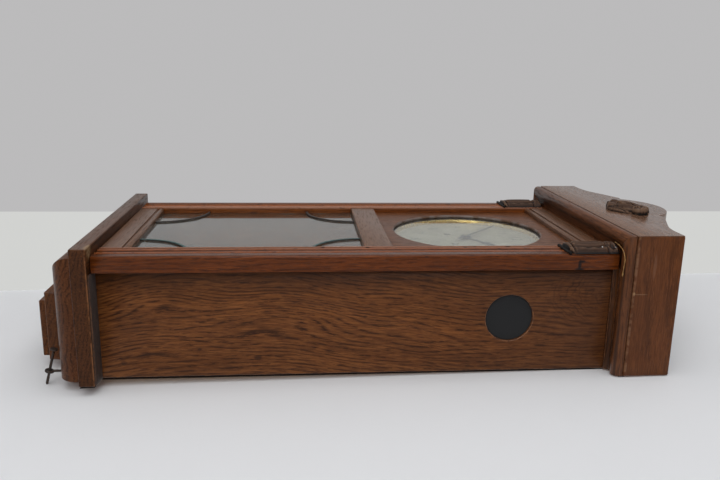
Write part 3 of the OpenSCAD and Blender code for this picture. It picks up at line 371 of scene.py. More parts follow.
# %% Marks on the plinth
def plinth_marks(wood, where, parts, board):
    rough = grainy(where, 170.0, 4.0, 0.6)
    front = between(parts["Y"], -0.1568, -0.1577)
    wood = stain(wood, front, 0.3, (0.17, 0.08, 0.042))
    corner = near(parts, (0.156, -0.16, -0.632), (0.017, 0.019, 0.006))
    bare = times(corner, between(rough, 0.42, 0.55))
    wood = stain(wood, bare, 0.85, (0.26, 0.165, 0.085))
    lip = between(parts["Z"], -0.6346, -0.6332)
    lip = times(lip, between(parts["X"], 0.1664, 0.1672))
    lip = times(lip, between(rough, 0.36, 0.56))
    wood = stain(wood, lip, 0.65, (0.3, 0.125, 0.05))
    # Grey on the plinth's top behind the door front: dust, and a painted sheen.
    dust = times(between(parts["Z"], -0.63275, -0.63265), 0.62)
    dust = times(dust, between(parts["Y"], -0.129, -0.12))
    return blend(dust, wood, (0.105, 0.098, 0.09))


def strip_marks(wood, where, parts, board):
    # Grey on the strip at the foot: dust, and a painted sheen.
    dust = times(between(parts["Z"], -0.6, -0.62), 0.66)
    return blend(dust, wood, (0.05, 0.052, 0.053))


ALL_MARKS = (side_marks, door_marks, mask_marks, crest_marks, moulding_marks, plinth_marks, strip_marks)
print("marks are ready for", len(ALL_MARKS), "kinds of board")

# %% [markdown]
# ## The oak boards' finishes
#
# Every board has its own cut of wood. The shift moves its grain to another part
# of the tree, and the axes say which way its grain runs, which way its face
# lies, and which way is into the board.

# %% Oak for each board
BROWN = dict(mid=(0.047, 0.0155, 0.005), light=(0.098, 0.033, 0.009), dark=(0.013, 0.005, 0.0024), level=0.13)
RED = dict(mid=(0.097, 0.0225, 0.0044), light=(0.16, 0.04, 0.0075), dark=(0.024, 0.0065, 0.0022))
PALE = dict(mid=(0.15, 0.042, 0.01), light=(0.225, 0.065, 0.015), dark=(0.045, 0.013, 0.0045))
# The rails face up; part of their grey tone is painted sheen.
GREY_TONE_AND_SHEEN = dict(mid=(0.12, 0.056, 0.03), light=(0.17, 0.086, 0.048), dark=(0.05, 0.023, 0.013))
MOULDED = dict(mid=(0.1, 0.033, 0.011), light=(0.155, 0.052, 0.017), dark=(0.028, 0.01, 0.0045))
REEDED = dict(rings=230.0, swirl=0.03, lean=0.85, contrast=0.75, gloss=0.22, level=0.16, marks=door_marks)
SLIM = dict(rings=240.0, swirl=0.02, contrast=0.8)
oak_side = oak("oak_side", "ZYX", marks=side_marks, rings=190.0, swirl=0.045, contrast=1.15, level=0.15,
               sway=1.0, swells=((-0.42, -0.071, 0.075, 0.02, 0.018), (-0.25, -0.03, 0.06, 0.022, -0.014),
                                 (-0.56, -0.095, 0.05, 0.018, 0.012)))
oak_stile = oak("oak_stile", "ZXY", shift=2.3, **REEDED, **RED)
oak_stile_far = oak("oak_stile_far", "ZXY", shift=3.1, **REEDED, **PALE)
oak_rail = oak("oak_rail", "XZY", shift=4.1, rings=260.0, swirl=0.03, contrast=0.6, level=0.35, gloss=0.32,
               **GREY_TONE_AND_SHEEN)
oak_mask = oak("oak_mask", "ZXY", shift=5.4, rings=120.0, level=0.3, gloss=0.34, marks=mask_marks,
               mid=(0.11, 0.037, 0.0115), light=(0.175, 0.062, 0.021), dark=(0.034, 0.012, 0.005))
# The crest's front faces up; part of its greyer, lighter tone is painted sheen.
oak_crest = oak("oak_crest", "XZY", shift=6.2, rings=90.0, contrast=0.45, gloss=0.2, level=0.5,
                mid=(0.13, 0.062, 0.034), light=(0.185, 0.095, 0.054), dark=(0.054, 0.025, 0.0145))
oak_return = oak("oak_return", "YZX", shift=7.7, rings=45.0, contrast=0.6, marks=crest_marks, level=0.16,
                 mid=(0.094, 0.029, 0.0088), light=(0.15, 0.048, 0.0145), dark=(0.03, 0.0098, 0.0036))
oak_plinth = oak("oak_plinth", "XZY", shift=8.8, rings=210.0, swirl=0.03, lean=0.2, contrast=0.9,
                 marks=plinth_marks, **BROWN)
oak_round = oak("oak_round", "XZY", shift=9.9, rings=160.0, lean=0.25, level=0.13, mid=(0.083, 0.027, 0.0088),
                light=(0.138, 0.046, 0.0145), dark=(0.022, 0.0075, 0.0032))
oak_block = oak("oak_block", "XZY", shift=11.3, rings=190.0, swirl=0.03, lean=0.3, contrast=0.9, level=0.13,
                mid=(0.086, 0.028, 0.0085), light=(0.15, 0.05, 0.014), dark=(0.024, 0.0085, 0.0035))
oak_moulding = oak("oak_moulding", "XZY", shift=12.1, marks=moulding_marks, **SLIM, **MOULDED)
oak_moulding_side = oak("oak_moulding_side", "YZX", shift=13.4, marks=moulding_marks, **SLIM, **MOULDED)
oak_strip = oak("oak_strip", "YZX", shift=14.2, marks=strip_marks, **SLIM, **BROWN)
pine = oak("pine", "ZXY", shift=15.0, rings=110.0, contrast=0.55, gloss=0.7, mid=(0.19, 0.1, 0.045),
           light=(0.27, 0.155, 0.07), dark=(0.105, 0.048, 0.02))
print("boards' finishes", len(bpy.data.materials))

# %% [markdown]
# ## Rubbed edges
#
# Varnish wears first where two faces meet. The bevel that eases each edge can
# hand its own faces to a second material, so the edges of most boards get a
# lighter, browner oak with dark gaps where the old finish is left, without any
# hand painting. Crest and plinth carry their wear in their marks; the rounded
# board has neither.

# %% Rubbed oak
rubbed, tree, surface = blank("rubbed_oak", Specular_IOR_Level=0.4)
patchy = grainy(place(tree), 120.0, 5.0, 0.65)
coat(surface, blend(between(patchy, 0.44, 0.6), (0.05, 0.018, 0.007), (0.235, 0.095, 0.036)),
     between(patchy, 0.3, 0.7, 0.34, 0.5))
print("edges use", rubbed.name)

# %% [markdown]
# ## Metals, glass, cloth and paint
#
# The brass ring around the dial is polished and a little tarnished, the wall
# screws are rusted black iron, the hands are blued steel. Each is one metal
# shader whose colour and gloss are broken up by noise of the right size.

# %% Metals
def metal(name, clean, dull, size, shine, relief=0.0, share=1.0):
    material, tree, surface = blank(name, Metallic=share)
    spots = grainy(place(tree), size, 5.0, 0.6)
    tone = blend(between(spots, 0.38, 0.66), clean, dull)
    rough = between(spots, 0.3, 0.7, shine, shine + 0.25)
    coat(surface, tone, rough, spots if relief else None, relief, 0.0003)
    return material


brass = metal("brass", (0.86, 0.68, 0.33), (0.66, 0.47, 0.18), 70.0, 0.12)
dull_brass = metal("dull_brass", (0.55, 0.4, 0.17), (0.3, 0.2, 0.08), 90.0, 0.34, 0.1)
iron = metal("iron", (0.03, 0.024, 0.021), (0.06, 0.034, 0.022), 260.0, 0.42, 0.35, 0.55)
steel = metal("steel", (0.46, 0.46, 0.47), (0.28, 0.27, 0.26), 120.0, 0.24)
blued = metal("blued_steel", (0.022, 0.028, 0.045), (0.04, 0.044, 0.056), 150.0, 0.34, 0.0, 0.6)
print("metals", [m.name for m in (brass, dull_brass, iron, steel, blued)])

# %% [markdown]
# ## Glass
#
# Old glass reflects the room and lets light through. Light that only passes on
# its way to a lamp is let through straight, so that the dial behind it is not
# left in the dark. A little dust makes it milky.

# %% Glass material
glass, tree, surface = blank("glass", Transmission_Weight=1.0, IOR=1.36, Roughness=0.03)
surface.inputs["Base Color"].default_value = (0.9, 0.92, 0.87, 1.0)
haze = grainy(place(tree), (38.0, 38.0, 24.0), 4.0)
dust = add(tree, "BsdfDiffuse", {"Color": (0.42, 0.4, 0.35, 1.0), "Roughness": 1.0})
dusty = add(tree, "MixShader",
            {0: between(haze, 0.3, 0.7, 0.005, 0.045), 1: surface.outputs[0], 2: dust.outputs[0]})
clear = add(tree, "BsdfTransparent", {"Color": (0.86, 0.89, 0.88, 1.0)})
shadow = add(tree, "LightPath").outputs["Is Shadow Ray"]
either = add(tree, "MixShader", {0: shadow, 1: dusty.outputs[0], 2: clear.outputs[0]})
tree.links.new(either.outputs[0], tree.nodes["Material Output"].inputs["Surface"])
print("glass is", glass.name)

# %% [markdown]
# ## Dial paint, cloth and strips
#
# The dial is silvered and gone grey-yellow, with faint cloudy stains. Behind
# the round holes in the sides hangs a plain black cloth: its weave is two sets
# of fine waves, crossed. The quarter-circle strips on the pane are dark, with a
# painted teal reflection on the upper side of the nearer ones.

# %% Dial, cloth and strips
enamel, tree, surface = blank("dial_silvering", Roughness=0.42, Metallic=0.15)
where = place(tree)
cloudy = between(grainy(where, 34.0, 5.0, 0.6), 0.35, 0.68)
tone = blend(cloudy, (0.32, 0.306, 0.254), (0.25, 0.237, 0.196))
speck = between(grainy(where, 420.0, 2.0), 0.66, 0.74)
coat(surface, stain(tone, speck, 0.35, (0.2, 0.17, 0.13)))

cloth, tree, surface = blank("cloth", Roughness=0.95, Specular_IOR_Level=0.05)
parts = ways(place(tree))
weave = times(*(sums("SINE", times(parts[axis], 6200.0)) for axis in "YZ"))
tone = blend(between(weave, -1.0, 1.0), (0.02, 0.02, 0.0205), (0.036, 0.036, 0.037))
coat(surface, tone, None, weave, 0.3, 0.0003)

strip_paint, tree, surface = blank("dark_strip", Roughness=0.5, Specular_IOR_Level=0.35)
where = place(tree)
parts = ways(where)
# A painted teal reflection on the upper side of the nearer strips, in patches.
teal_reflection = between(grainy(where, 200.0, 3.0), 0.25, 0.5, 0.6, 1.0)
reflecting_upper_side = times(between(parts["Y"], -0.1402, -0.1406), between(parts["X"], -0.02, 0.06))
coat(surface, blend(times(reflecting_upper_side, teal_reflection), (0.03, 0.022, 0.018), (0.04, 0.085, 0.08)))
print("dial, cloth and strips are mixed")

# %% [markdown]
# ## From construction piece to finished board
#
# A construction piece has perfectly sharp edges, which real wood never has. A
# copy of its shape is cleaned (doubled points joined, flat neighbours merged
# into one face) and gets a bevel, whose own faces can have the rubbed finish.
# The copy then stands for the piece and moves with the same body.

# %% Helpers for pieces
body_of = {}
for body, facts in frame["record"]["behaviour"]["bodies"].items():
    for node in (facts["nodes"] if isinstance(facts, dict) else facts):
        body_of[node] = body


def goes_with(piece, node):
    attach(piece, body_of[node])


def belongs(piece, node):
    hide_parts(node)
    goes_with(piece, node)


def as_mesh(shape, name):
    mesh = bpy.data.meshes.new(name)
    shape.to_mesh(mesh)
    shape.free()
    return mesh


def new_piece(name, mesh, *materials, smooth=True):
    piece = stood(name, mesh)
    for material in materials:
        mesh.materials.append(material)
    for face in mesh.polygons:
        face.use_smooth = smooth
    return piece


def dressed(node, material, width, edge=None):
    """A cleaned, bevelled copy of a construction piece, standing for it."""
    shape = bmesh.new()
    shape.from_mesh(frame["nodes"][node].data)
    bmesh.ops.remove_doubles(shape, verts=shape.verts, dist=2e-6)
    bmesh.ops.dissolve_limit(shape, angle_limit=radians(0.4), verts=shape.verts, edges=shape.edges)
    bmesh.ops.recalc_face_normals(shape, faces=shape.faces)
    name = node + "_finished"
    piece = new_piece(name, as_mesh(shape, name), material, *([edge] if edge else []))
    bevel = piece.modifiers.new("eased edges", "BEVEL")
    bevel.width = width
    bevel.segments = 3 if width > 0.0008 else 2
    bevel.limit_method = "ANGLE"
    bevel.angle_limit = radians(28.0)
    bevel.harden_normals = True
    bevel.material = 1 if edge else -1
    belongs(piece, node)
    return piece


# %% [markdown]
# ## The boards
#
# The sides, plinth, rounded board and base are plain boards with eased edges.
# The plinth and the crest stand where hands and crates rub them, so their edges
# are rounder than those of the door, which was always behind them.

# %% Case boards
boards = {
    "side_panel_right": (oak_side, 0.0008), "side_panel_left": (oak_side, 0.0008),
    "plinth_board": (oak_plinth, 0.0011), "bullnose_board": (oak_round, 0.001),
    "base_block": (oak_block, 0.0008), "base_plate": (oak_block, 0.0008),
    "side_strips": (oak_strip, 0.0003), "case_top_board": (oak_block, 0.0005),
    "backboard": (pine, 0.0005),
}
for node, (material, width) in boards.items():
    made = dressed(node, material, width, None if material in (pine, oak_plinth, oak_round) else rubbed)
    print(node, len(made.data.polygons), "faces before easing")
for node, material, width in (("crest_front", oak_crest, 0.0013), ("crest_returns", oak_return, 0.0015)):
    dressed(node, material, width)

# %% [markdown]
# The cornice is one moulding cut into three lengths, whose ends meet at a mitre
# of 45 degrees. Its grain follows each length, so the front length and the two
# side lengths get the same oak turned by a quarter.

# %% Cornice
cornice = dressed("cornice_moulding", oak_moulding, 0.0005)
cornice.data.materials.append(oak_moulding_side)
CORNICE_X, CORNICE_Y = 0.1435, -0.1454
turned = 0
for face in cornice.data.polygons:
    out_x, out_y = abs(face.center.x) - CORNICE_X, CORNICE_Y - face.center.y
    if out_x > out_y:
        face.material_index = 1
        turned += 1
print("cornice faces on the side lengths", turned, "of", len(cornice.data.polygons))

# %% [markdown]
# ## The door
#
# Two reeded stiles and three rails hold a pane below and a thin board with the
# round window above. The mask's round edge was turned to a soft lip, which
# catches the light of the windows as a bright line; the lip also has a painted
# grey sheen and painted pale highlights.

# %% Door boards
dressed("door_stile_right", oak_stile, 0.0004, rubbed)
dressed("door_stile_left", oak_stile_far, 0.0004, rubbed)
for node in ("door_top_rail", "door_mid_rail", "door_bottom_rail"):
    dressed(node, oak_rail, 0.0005, rubbed)
dressed("dial_mask", oak_mask, 0.0026)

# %% [markdown]
# ## Carving by height
#
# A relief is cut from above, so at each point of its face it has one height.
# That is how it is modelled here: a fine net is laid over the face and lifted by
# a formula, the points that stay flat are let into the board, and the rest is
# left out. A leaf is a bulge with a midrib and side veins, and its outline is
# notched. A scroll is a rounded disc with a crescent cut into it, so that a
# rim and a knob are left. Heights are in millimetres.

# %% A net lifted by a height
def relief(name, node, material, low, high, step, height, put):
    wide = round((high[0] - low[0]) / step)
    tall = round((high[1] - low[1]) / step)
    shape = bmesh.new()
    wear_light_and_shade = shape.verts.layers.float.new("wear_light_and_shade")
    rows = []
    for j in range(tall + 1):
        row = []
        for i in range(wide + 1):
            u, v = low[0] + i * step, low[1] + j * step
            lift = height(u, v)
            point = shape.verts.new(put(u, v, lift if lift > 0 else -0.6))
            row.append((point, lift))
        rows.append(row)
    for j in range(tall):
        for i in range(wide):
            four = (rows[j][i], rows[j][i + 1], rows[j + 1][i + 1], rows[j + 1][i])
            if max(lift for _, lift in four) > 0:
                shape.faces.new([point for point, _ in four])
    # How far each point stands above its neighbours; the carved wood paints shade in the hollows and lighter
    # ridges from it.
    for row, next_row, last_row in zip(rows[3:-3], rows[6:], rows):
        for i in range(3, wide - 2):
            around = next_row[i][1] + last_row[i][1] + row[i - 3][1] + row[i + 3][1]
            row[i][0][wear_light_and_shade] = 0.5 + 0.3 * (row[i][1] - around / 4.0)
    loose = [point for point in shape.verts if not point.link_faces]
    bmesh.ops.delete(shape, geom=loose, context="VERTS")
    piece = new_piece(name, as_mesh(shape, name), material)
    if node:
        belongs(piece, node)
    return piece


def leaf_height(u, v, root, angle, length, half, lift):
    turn_by = radians(angle)
    du, dv = u - root[0], v - root[1]
    s = (du * sin(turn_by) + dv * cos(turn_by)) / length
    t = du * cos(turn_by) - dv * sin(turn_by)
    if not 0.0 < s < 1.0:
        return -1.0
    lobes = 1.0 - 0.2 * abs(sin(pi * 4.5 * s)) ** 0.5 * (1.0 - 0.4 * s)
    width = half * sin(pi * s ** 0.75) ** 0.65 * (1.22 - lobes * 0.42)
    side = abs(t) / max(width, 0.01)
    if side >= 1.0:
        return -1.0
    bulge = lift * (1.0 - side ** 2.6) ** 0.5 * (0.62 + 0.38 * sin(pi * min(1.0, s * 1.1)))
    veins = 0.25 * sin(2.0 * pi * (s * 9.0 - side * 1.3)) * side * (1.0 - side * 0.5)
    rib = -1.2 * exp(-((abs(t) - 1.6) / 0.9) ** 2) + 0.4 * exp(-(t / 0.9) ** 2)
    return max(0.05, bulge + veins + rib)


def scroll_height(u, v, centre, reach, lift):
    """A curled end: a rounded rim, a deep crescent inside it and a lower knob in front."""
    du, dv = u - centre[0], v - centre[1]
    away = hypot(du, dv) / reach
    if away >= 1.0:
        return -1.0
    from_knob = hypot(du - 0.22 * reach, dv + 0.52 * reach) / (0.56 * reach)
    from_hollow = hypot(du + 0.42 * reach, dv - 0.32 * reach) / (0.62 * reach)
    height = lift * (1.0 - away ** 10) ** 0.3
    if from_knob < 1.0:
        height = min(height, lift * (0.66 + 0.12 * sqrt(1.0 - from_knob ** 4)))
    elif from_hollow < 1.0:
        height -= 0.55 * lift * min(1.0, 5.0 * (1.0 - from_hollow), 6.0 * (from_knob - 1.0))
    return max(height, 0.5)


print("a leaf's midrib is", round(leaf_height(0, 30, (0, 0), 0, 60, 11, 9), 2), "mm high")

# %% [markdown]
# The wood of the carvings is darker than the boards. Its hollows are painted
# almost black as shade, and its high places a greyish brown that stands both
# for rubbed wear and for painted light. The material therefore reads the height
# of the carving, which is its Y place, and how far each point stands above or
# below its neighbours, kept on each point of the net. A few spots of painted
# shade and painted highlight are named by their place, size, power and colour.

# %% Carved wood
def carved_wood(name, low, high, spots=()):
    material, tree, surface = blank(name, Specular_IOR_Level=0.14)
    where = place(tree)
    parts = ways(where)
    veins = grainy(where, (330.0, 330.0, 60.0), 3.0, 0.6)
    wear_light_and_shade = grainy(where, 150.0, 4.0, 0.6)
    tone = blend(between(veins, 0.36, 0.64), (0.027, 0.012, 0.0064), (0.041, 0.018, 0.0098))
    # The higher parts are lighter: rubbed wear and painted light.
    top = between(parts["Y"], low, high)
    tone = stain(tone, top, between(wear_light_and_shade, 0.3, 0.62, 0.35, 1.0), (0.062, 0.03, 0.0165))
    hollow = add(tree, "Attribute", attribute_name="wear_light_and_shade").outputs["Fac"]
    # Painted shade: points below their neighbours go almost black. The ridges above them are lighter, as rubbed
    # wear and painted light.
    tone = blend(between(hollow, 0.47, 0.24), tone, (0.005, 0.003, 0.0024))
    tone = blend(between(hollow, 0.55, 0.95, 0.0, 0.75), tone, (0.17, 0.098, 0.06))
    for x, z, wide, tall, power, colour in spots:
        tone = stain(tone, near(parts, (x, 0, z), (wide, None, tall)), power, colour)
    coat(surface, tone, between(wear_light_and_shade, 0.3, 0.7, 0.42, 0.6), veins, 0.35, 0.0004)
    return material


# Spots of painted shade in the grooves and painted highlights on the scroll and the leaves.
PAINTED_SHADE, PAINTED_HIGHLIGHT = (0.006, 0.0036, 0.0028), (0.155, 0.092, 0.056)
crest_wood = carved_wood("carved_crest", -0.1745, -0.1795, (
    (0.051, 0.03, 0.0055, 0.0045, 0.7, PAINTED_HIGHLIGHT), (0.048, 0.042, 0.01, 0.003, 0.6, PAINTED_HIGHLIGHT),
    (0.044, 0.0375, 0.0045, 0.0024, 0.95, PAINTED_SHADE), (0.025, 0.0415, 0.017, 0.0018, 0.85, PAINTED_SHADE),
    (-0.004, 0.015, 0.007, 0.004, 0.8, PAINTED_SHADE), (0.012, 0.013, 0.008, 0.0045, 0.55, PAINTED_HIGHLIGHT),
    (0.008, 0.029, 0.008, 0.005, 0.45, PAINTED_HIGHLIGHT)))
capital_wood = carved_wood("carved_capital", -0.15, -0.1565)
print("carvings use", crest_wood.name, "and", capital_wood.name)

# %% The carving on the crest
def crest_height(u, z):
    best = leaf_height(u, z, (-9.0, 15.0), 34.0, 46.0, 16.0, 8.6)
    best = max(best, leaf_height(u, z, (4.0, 12.0), 50.0, 52.0, 11.5, 7.6))
    best = max(best, leaf_height(u, z, (13.0, 6.0), 66.0, 36.0, 8.0, 5.5))
    for knob_u, knob_z, size, lift in ((17.0, 11.5, 7.0, 8.8), (-6.0, 24.0, 6.5, 9.2), (5.0, 15.0, 5.5, 8.0)):
        away = hypot(u - knob_u, z - knob_z) / size
        if away < 1.0:
            best = max(best, lift * (1.0 - away ** 3) ** 0.4)
    cavity = ((u - 8.0) / 6.5) ** 2 + ((z - 25.0) / 3.4) ** 2
    if cavity < 1.0:
        best -= 5.5 * (1.0 - cavity)
    arc = hypot(u - 38.0, z - 35.5) / 16.0
    if arc < 1.0 and z > 37.0 and u < 40.0:
        best = max(best, 8.4 * (1.0 - arc ** 8) ** 0.35)
    if 6.0 < u < 44.0 and z > 36.0:
        best -= 2.8 * exp(-((z - 42.0 + 0.004 * (u - 24.0) ** 2) / 1.3) ** 2)
    scroll = scroll_height(u, z, (48.5, 34.5), 9.4, 9.4)
    return scroll if scroll > 0.0 else best


CREST_Y = -0.171
carving = relief("crest_carving_cut", "crest_carving", crest_wood, (-20.0, -4.0), (60.0, 56.0), 0.6,
                 crest_height, lambda u, z, h: (u * 0.001, CREST_Y - h * 0.001, z * 0.001))
print("crest carving", len(carving.data.polygons), "faces")

# %% [markdown]
# The capitals are one long bud each, cut in the round: an almond leaf lies on
# the middle, a notched rim runs along both edges, and a bead closes the foot.
# The left one is cut a little flatter, and both are 58 mm tall.

# %% The capitals
SIDES = ((1, "right"), (-1, "left"))
CAP_R, CAP_TALL = 26.4, 58.0
CAP_X, CAP_FACE, CAP_FOOT = 135.2, -0.1468, 95.7


def capital_height(u, v):
    foot = 20.1 - 11.0 * max(0.0, 1.0 - v / 9.0) ** 1.6
    if abs(u) > foot or v > CAP_TALL or v < 0.0:
        return -1.0
    round_over = 9.3 - CAP_R + sqrt(CAP_R ** 2 - u * u)
    ends = sqrt(max(0.0, 1.0 - max(0.0, 1.0 - v / 8.0) ** 2)) * 0.75 + 0.25
    lift = round_over * ends
    s = (v - 27.5) / 22.5
    almond = hypot(abs(u) / 9.6, s) if abs(s) < 1 else 2.0
    if almond < 1.0:
        lift += 0.9 * sqrt(1.0 - almond) - 1.8 * exp(-(u / 1.5) ** 2)
    lift -= 2.6 * exp(-((almond - 1.18) / 0.17) ** 2)
    lift -= 1.8 * exp(-((v - 46.5) / 1.2) ** 2)
    rim = exp(-((abs(u) - 13.6) / 2.4) ** 2)
    lift += rim * (0.7 + 0.5 * sin(2.0 * pi * v / 13.0))
    lift -= 0.7 * exp(-((abs(u) - 17.6) / 1.1) ** 2)
    hollow = ((u - 10.0) / 6.5) ** 2 + ((v - 53.0) / 4.6) ** 2
    if hollow < 1.0:
        lift -= 4.2 * (1.0 - hollow)
    lift -= 2.2 * exp(-((v - 6.2) / 1.2) ** 2)
    return max(0.08, lift)


nets = []
for hand, side in SIDES:
    unit = 0.00098 if hand > 0 else 0.00082
    piece = relief("capital_" + side, None, capital_wood, (-20.1, 0.0), (20.1, CAP_TALL), 0.67,
                   lambda u, v: capital_height(u, v) if abs(u) <= 20.0 else 0.02,
                   lambda u, v, h: (hand * (CAP_X + u) * 0.001, CAP_FACE - h * unit, (v - CAP_FOOT) * 0.001))
    nets.append(piece)
nets[1].data.flip_normals()
belongs(nets[0], "capitals")
goes_with(nets[1], "capitals")
print("capitals", [len(net.data.polygons) for net in nets], "faces")

# %% [markdown]
# Small round things (beads, pins, rods, rings of wire) are swept: a ring of
# points is carried along a line and joined to the ring before it. A thread is
# the same sweep with a radius that rises and falls once in each turn.

# %% Sweeping a ring along a line
def swept(name, line, radius, material, sides=16, cap=True):
    """radius is a number, or a function of the place along the line (0 to 1) and of the angle."""
    shape = bmesh.new()
    rings = []
    line = [Vector(p) for p in line]
    up = Vector((0.31, 0.52, 0.8))
    for k, point in enumerate(line):
        way = (line[min(k + 1, len(line) - 1)] - line[max(k - 1, 0)]).normalized()
        first = way.cross(up).normalized()
        second = way.cross(first)
        ring = []
        for n in range(sides):
            angle = 2.0 * pi * n / sides
            size = radius(k / (len(line) - 1), angle) if callable(radius) else radius
            ring.append(shape.verts.new(point + (first * cos(angle) + second * sin(angle)) * size))
        rings.append(ring)
    for one, two in zip(rings, rings[1:]):
        for n in range(sides):
            shape.faces.new((one[n], one[(n + 1) % sides], two[(n + 1) % sides], two[n]))
    if cap:
        shape.faces.new(rings[0])
        shape.faces.new(rings[-1])
    bmesh.ops.recalc_face_normals(shape, faces=shape.faces)
    return new_piece(name, as_mesh(shape, name), material)


for hand, side in SIDES:
    line = [(hand * (0.1151 + 0.0402 * k / 12), -0.1474, -0.001 * CAP_FOOT) for k in range(13)]
    collar = swept("collar_" + side, line, lambda s, a: 0.0021 * (0.82 + 0.18 * abs(sin(s * 5.0 * pi))),
                   capital_wood)
    goes_with(collar, "capitals")
print("each capital has a collar of", len(collar.data.polygons), "faces")

# %% [markdown]
# ## The dial
#
# A silvered disc carries printed figures and a minute track: two thin circles
# with sixty small strokes between them. The ink has faded to a blue grey, so
# from the side the track reads as one faint line. The figures come from the
# built-in letter shapes and are turned into thin plates on the dial.

# %% Printed dial
ink, tree, surface = blank("faded_ink", Roughness=0.5, Specular_IOR_Level=0.3)
faded = between(grainy(place(tree), 130.0), 0.3, 0.7)
coat(surface, blend(faded, (0.06, 0.066, 0.08), (0.15, 0.155, 0.155)))

PRINT_Y = -0.1255 - 0.00008
TRACK_IN, TRACK_OUT, TRACK_LINE = 0.0868, 0.0892, 0.0004
print_shape = bmesh.new()


def turned_point(radius, degrees):
    return radius * sin(radians(degrees)), radius * cos(radians(degrees))


def printed(inner, outer, start, end):
    """A short stroke of ink between two radii and two angles."""
    corners = [turned_point(inner, start), turned_point(outer, start), turned_point(outer, end),
               turned_point(inner, end)]
    print_shape.faces.new([print_shape.verts.new((x, PRINT_Y, DIAL_Z + z)) for x, z in corners])


for inner in (TRACK_IN - TRACK_LINE, TRACK_OUT):
    for n in range(180):
        printed(inner, inner + TRACK_LINE, 2 * n, 2 * n + 2)
for minute in range(60):
    half = 0.62 if minute % 5 == 0 else 0.24
    printed(TRACK_IN, TRACK_OUT, 6 * minute - half, 6 * minute + half)
bmesh.ops.remove_doubles(print_shape, verts=print_shape.verts, dist=1e-6)
track = new_piece("minute_track", as_mesh(print_shape, "minute_track"), ink, smooth=False)

figures = [track]
for hour in range(1, 13):
    letters = bpy.data.curves.new("figure_" + str(hour), "FONT")
    letters.body = str(hour)
    letters.size = 0.0215
    letters.align_x = "CENTER"
    letters.align_y = "CENTER"
    letters.resolution_u = 5
    holder = stood(letters.name, letters)
    bpy.context.view_layer.update()
    plate = bpy.data.meshes.new_from_object(holder)
    bpy.data.objects.remove(holder)
    x, z = turned_point(0.069, 30 * hour)
    plate.transform(Matrix.Translation((x, PRINT_Y, DIAL_Z + z)) @ Matrix.Rotation(pi / 2, 4, "X"))
    plate.materials.clear()
    figures.append(new_piece("figure_" + str(hour), plate, ink, smooth=False))
for piece in figures:
    goes_with(piece, "dial")
print("printed pieces", len(figures))

# %% Dial, ring and hands
dressed("dial", enamel, 0.0003)
dressed("dial_bezel", brass, 0.0003)
for node in ("minute_hand", "hour_hand"):
    dressed(node, blued, 0.0002)

# %% [markdown]
# The nut that holds the hands was turned on a lathe. It is made the same way:
# its outline, from the hole over the rounded top to the rim, is spun around the
# dial's centre.

# %% The turned nut
NUT_HOLE, NUT_RADIUS, NUT_TALL, NUT_Y = 0.0021, 0.0064, 0.0012, -0.1297
line = [(NUT_HOLE, 0.0), (NUT_HOLE, NUT_TALL)]
line += [(NUT_HOLE + (NUT_RADIUS - NUT_HOLE) * sin(a * pi / 12), NUT_TALL * cos(a * pi / 12) * 0.8)
         for a in range(1, 6)]
line += [(NUT_RADIUS, 0.15 * NUT_TALL), (NUT_RADIUS, 0.0)]
shape = bmesh.new()
rings = []
for n in range(48):
    angle = 2 * pi * n / 48
    rings.append([shape.verts.new((r * cos(angle), NUT_Y - h, DIAL_Z + r * sin(angle))) for r, h in line])
for one, two in zip(rings, rings[1:] + rings[:1]):
    for k in range(len(line) - 1):
        shape.faces.new((one[k], one[k + 1], two[k + 1], two[k]))
bmesh.ops.recalc_face_normals(shape, faces=shape.faces)
nut = new_piece("hand_nut_turned", as_mesh(shape, "hand_nut_turned"), blued)
belongs(nut, "hand_nut")
print("the nut has", len(nut.data.polygons), "faces")

# %% [markdown]
# ## The panes and their strips
#
# Two panes are let into the door. In the corners of the lower opening four dark
# quarter-circle strips lie on the glass.

# %% Panes
def finish(node, material):
    """A construction piece that is shown as it is, in its own material."""
    shown = frame["nodes"][node]
    shown.data.materials.clear()
    shown.data.materials.append(material)


for node in ("lower_glass", "dial_glass"):
    finish(node, glass)
dressed("glazing_arcs", strip_paint, 0.0007)
print("glass and strips are in")

# %% [markdown]
# ## Cloth in the sound holes
#
# The cloth is stretched over a hoop, so it is not quite flat: it sags a little
# and has a few slack folds that run down from its edge.

# %% Sound cloths
CLOTH_R, HOLE_Y, HOLE_Z, CLOTH_X = 0.0284, -0.0657, -0.159, 0.1404
cloths = bmesh.new()
for hand in (1, -1):
    rings = []
    for k in range(19):
        radius = CLOTH_R * k / 18
        ring = []
        for n in range(72):
            angle = 2 * pi * n / 72
            y, z = HOLE_Y + radius * cos(angle), HOLE_Z + radius * sin(angle)
            sag = 0.0006 * (1 - (k / 18) ** 2) + 0.00018 * noise.noise(Vector((y * 160, z * 55, hand)))
            ring.append(cloths.verts.new((hand * (CLOTH_X - sag), y, z)))
            if k == 0:
                break
        rings.append(ring)
    for n in range(72):
        cloths.faces.new((rings[0][0], rings[1][n], rings[1][(n + 1) % 72])[::hand])
    for one, two in zip(rings[1:], rings[2:]):
        for n in range(72):
            cloths.faces.new((one[n], two[n], two[(n + 1) % 72], one[(n + 1) % 72])[::hand])
mesh = as_mesh(cloths, "stretched_cloths")
belongs(new_piece("stretched_cloths", mesh, cloth), "sound_cloths")
print("cloths", len(mesh.polygons), "faces")

# %% [markdown]
# ## Wall screws
#
# Two screws in ring eyes press against the wall and keep a hanging clock
# upright. Each is an iron rod with a thread and a small round head that fingers
# can turn. The eye is a bent ring on a shank that is screwed into the wood.

# %% Threaded rod, round head and ring eye
TILT = radians(15.0)
rod_way = Vector((0.0, cos(TILT), -sin(TILT)))
ring_way = Vector((0.0, sin(TILT), cos(TILT)))


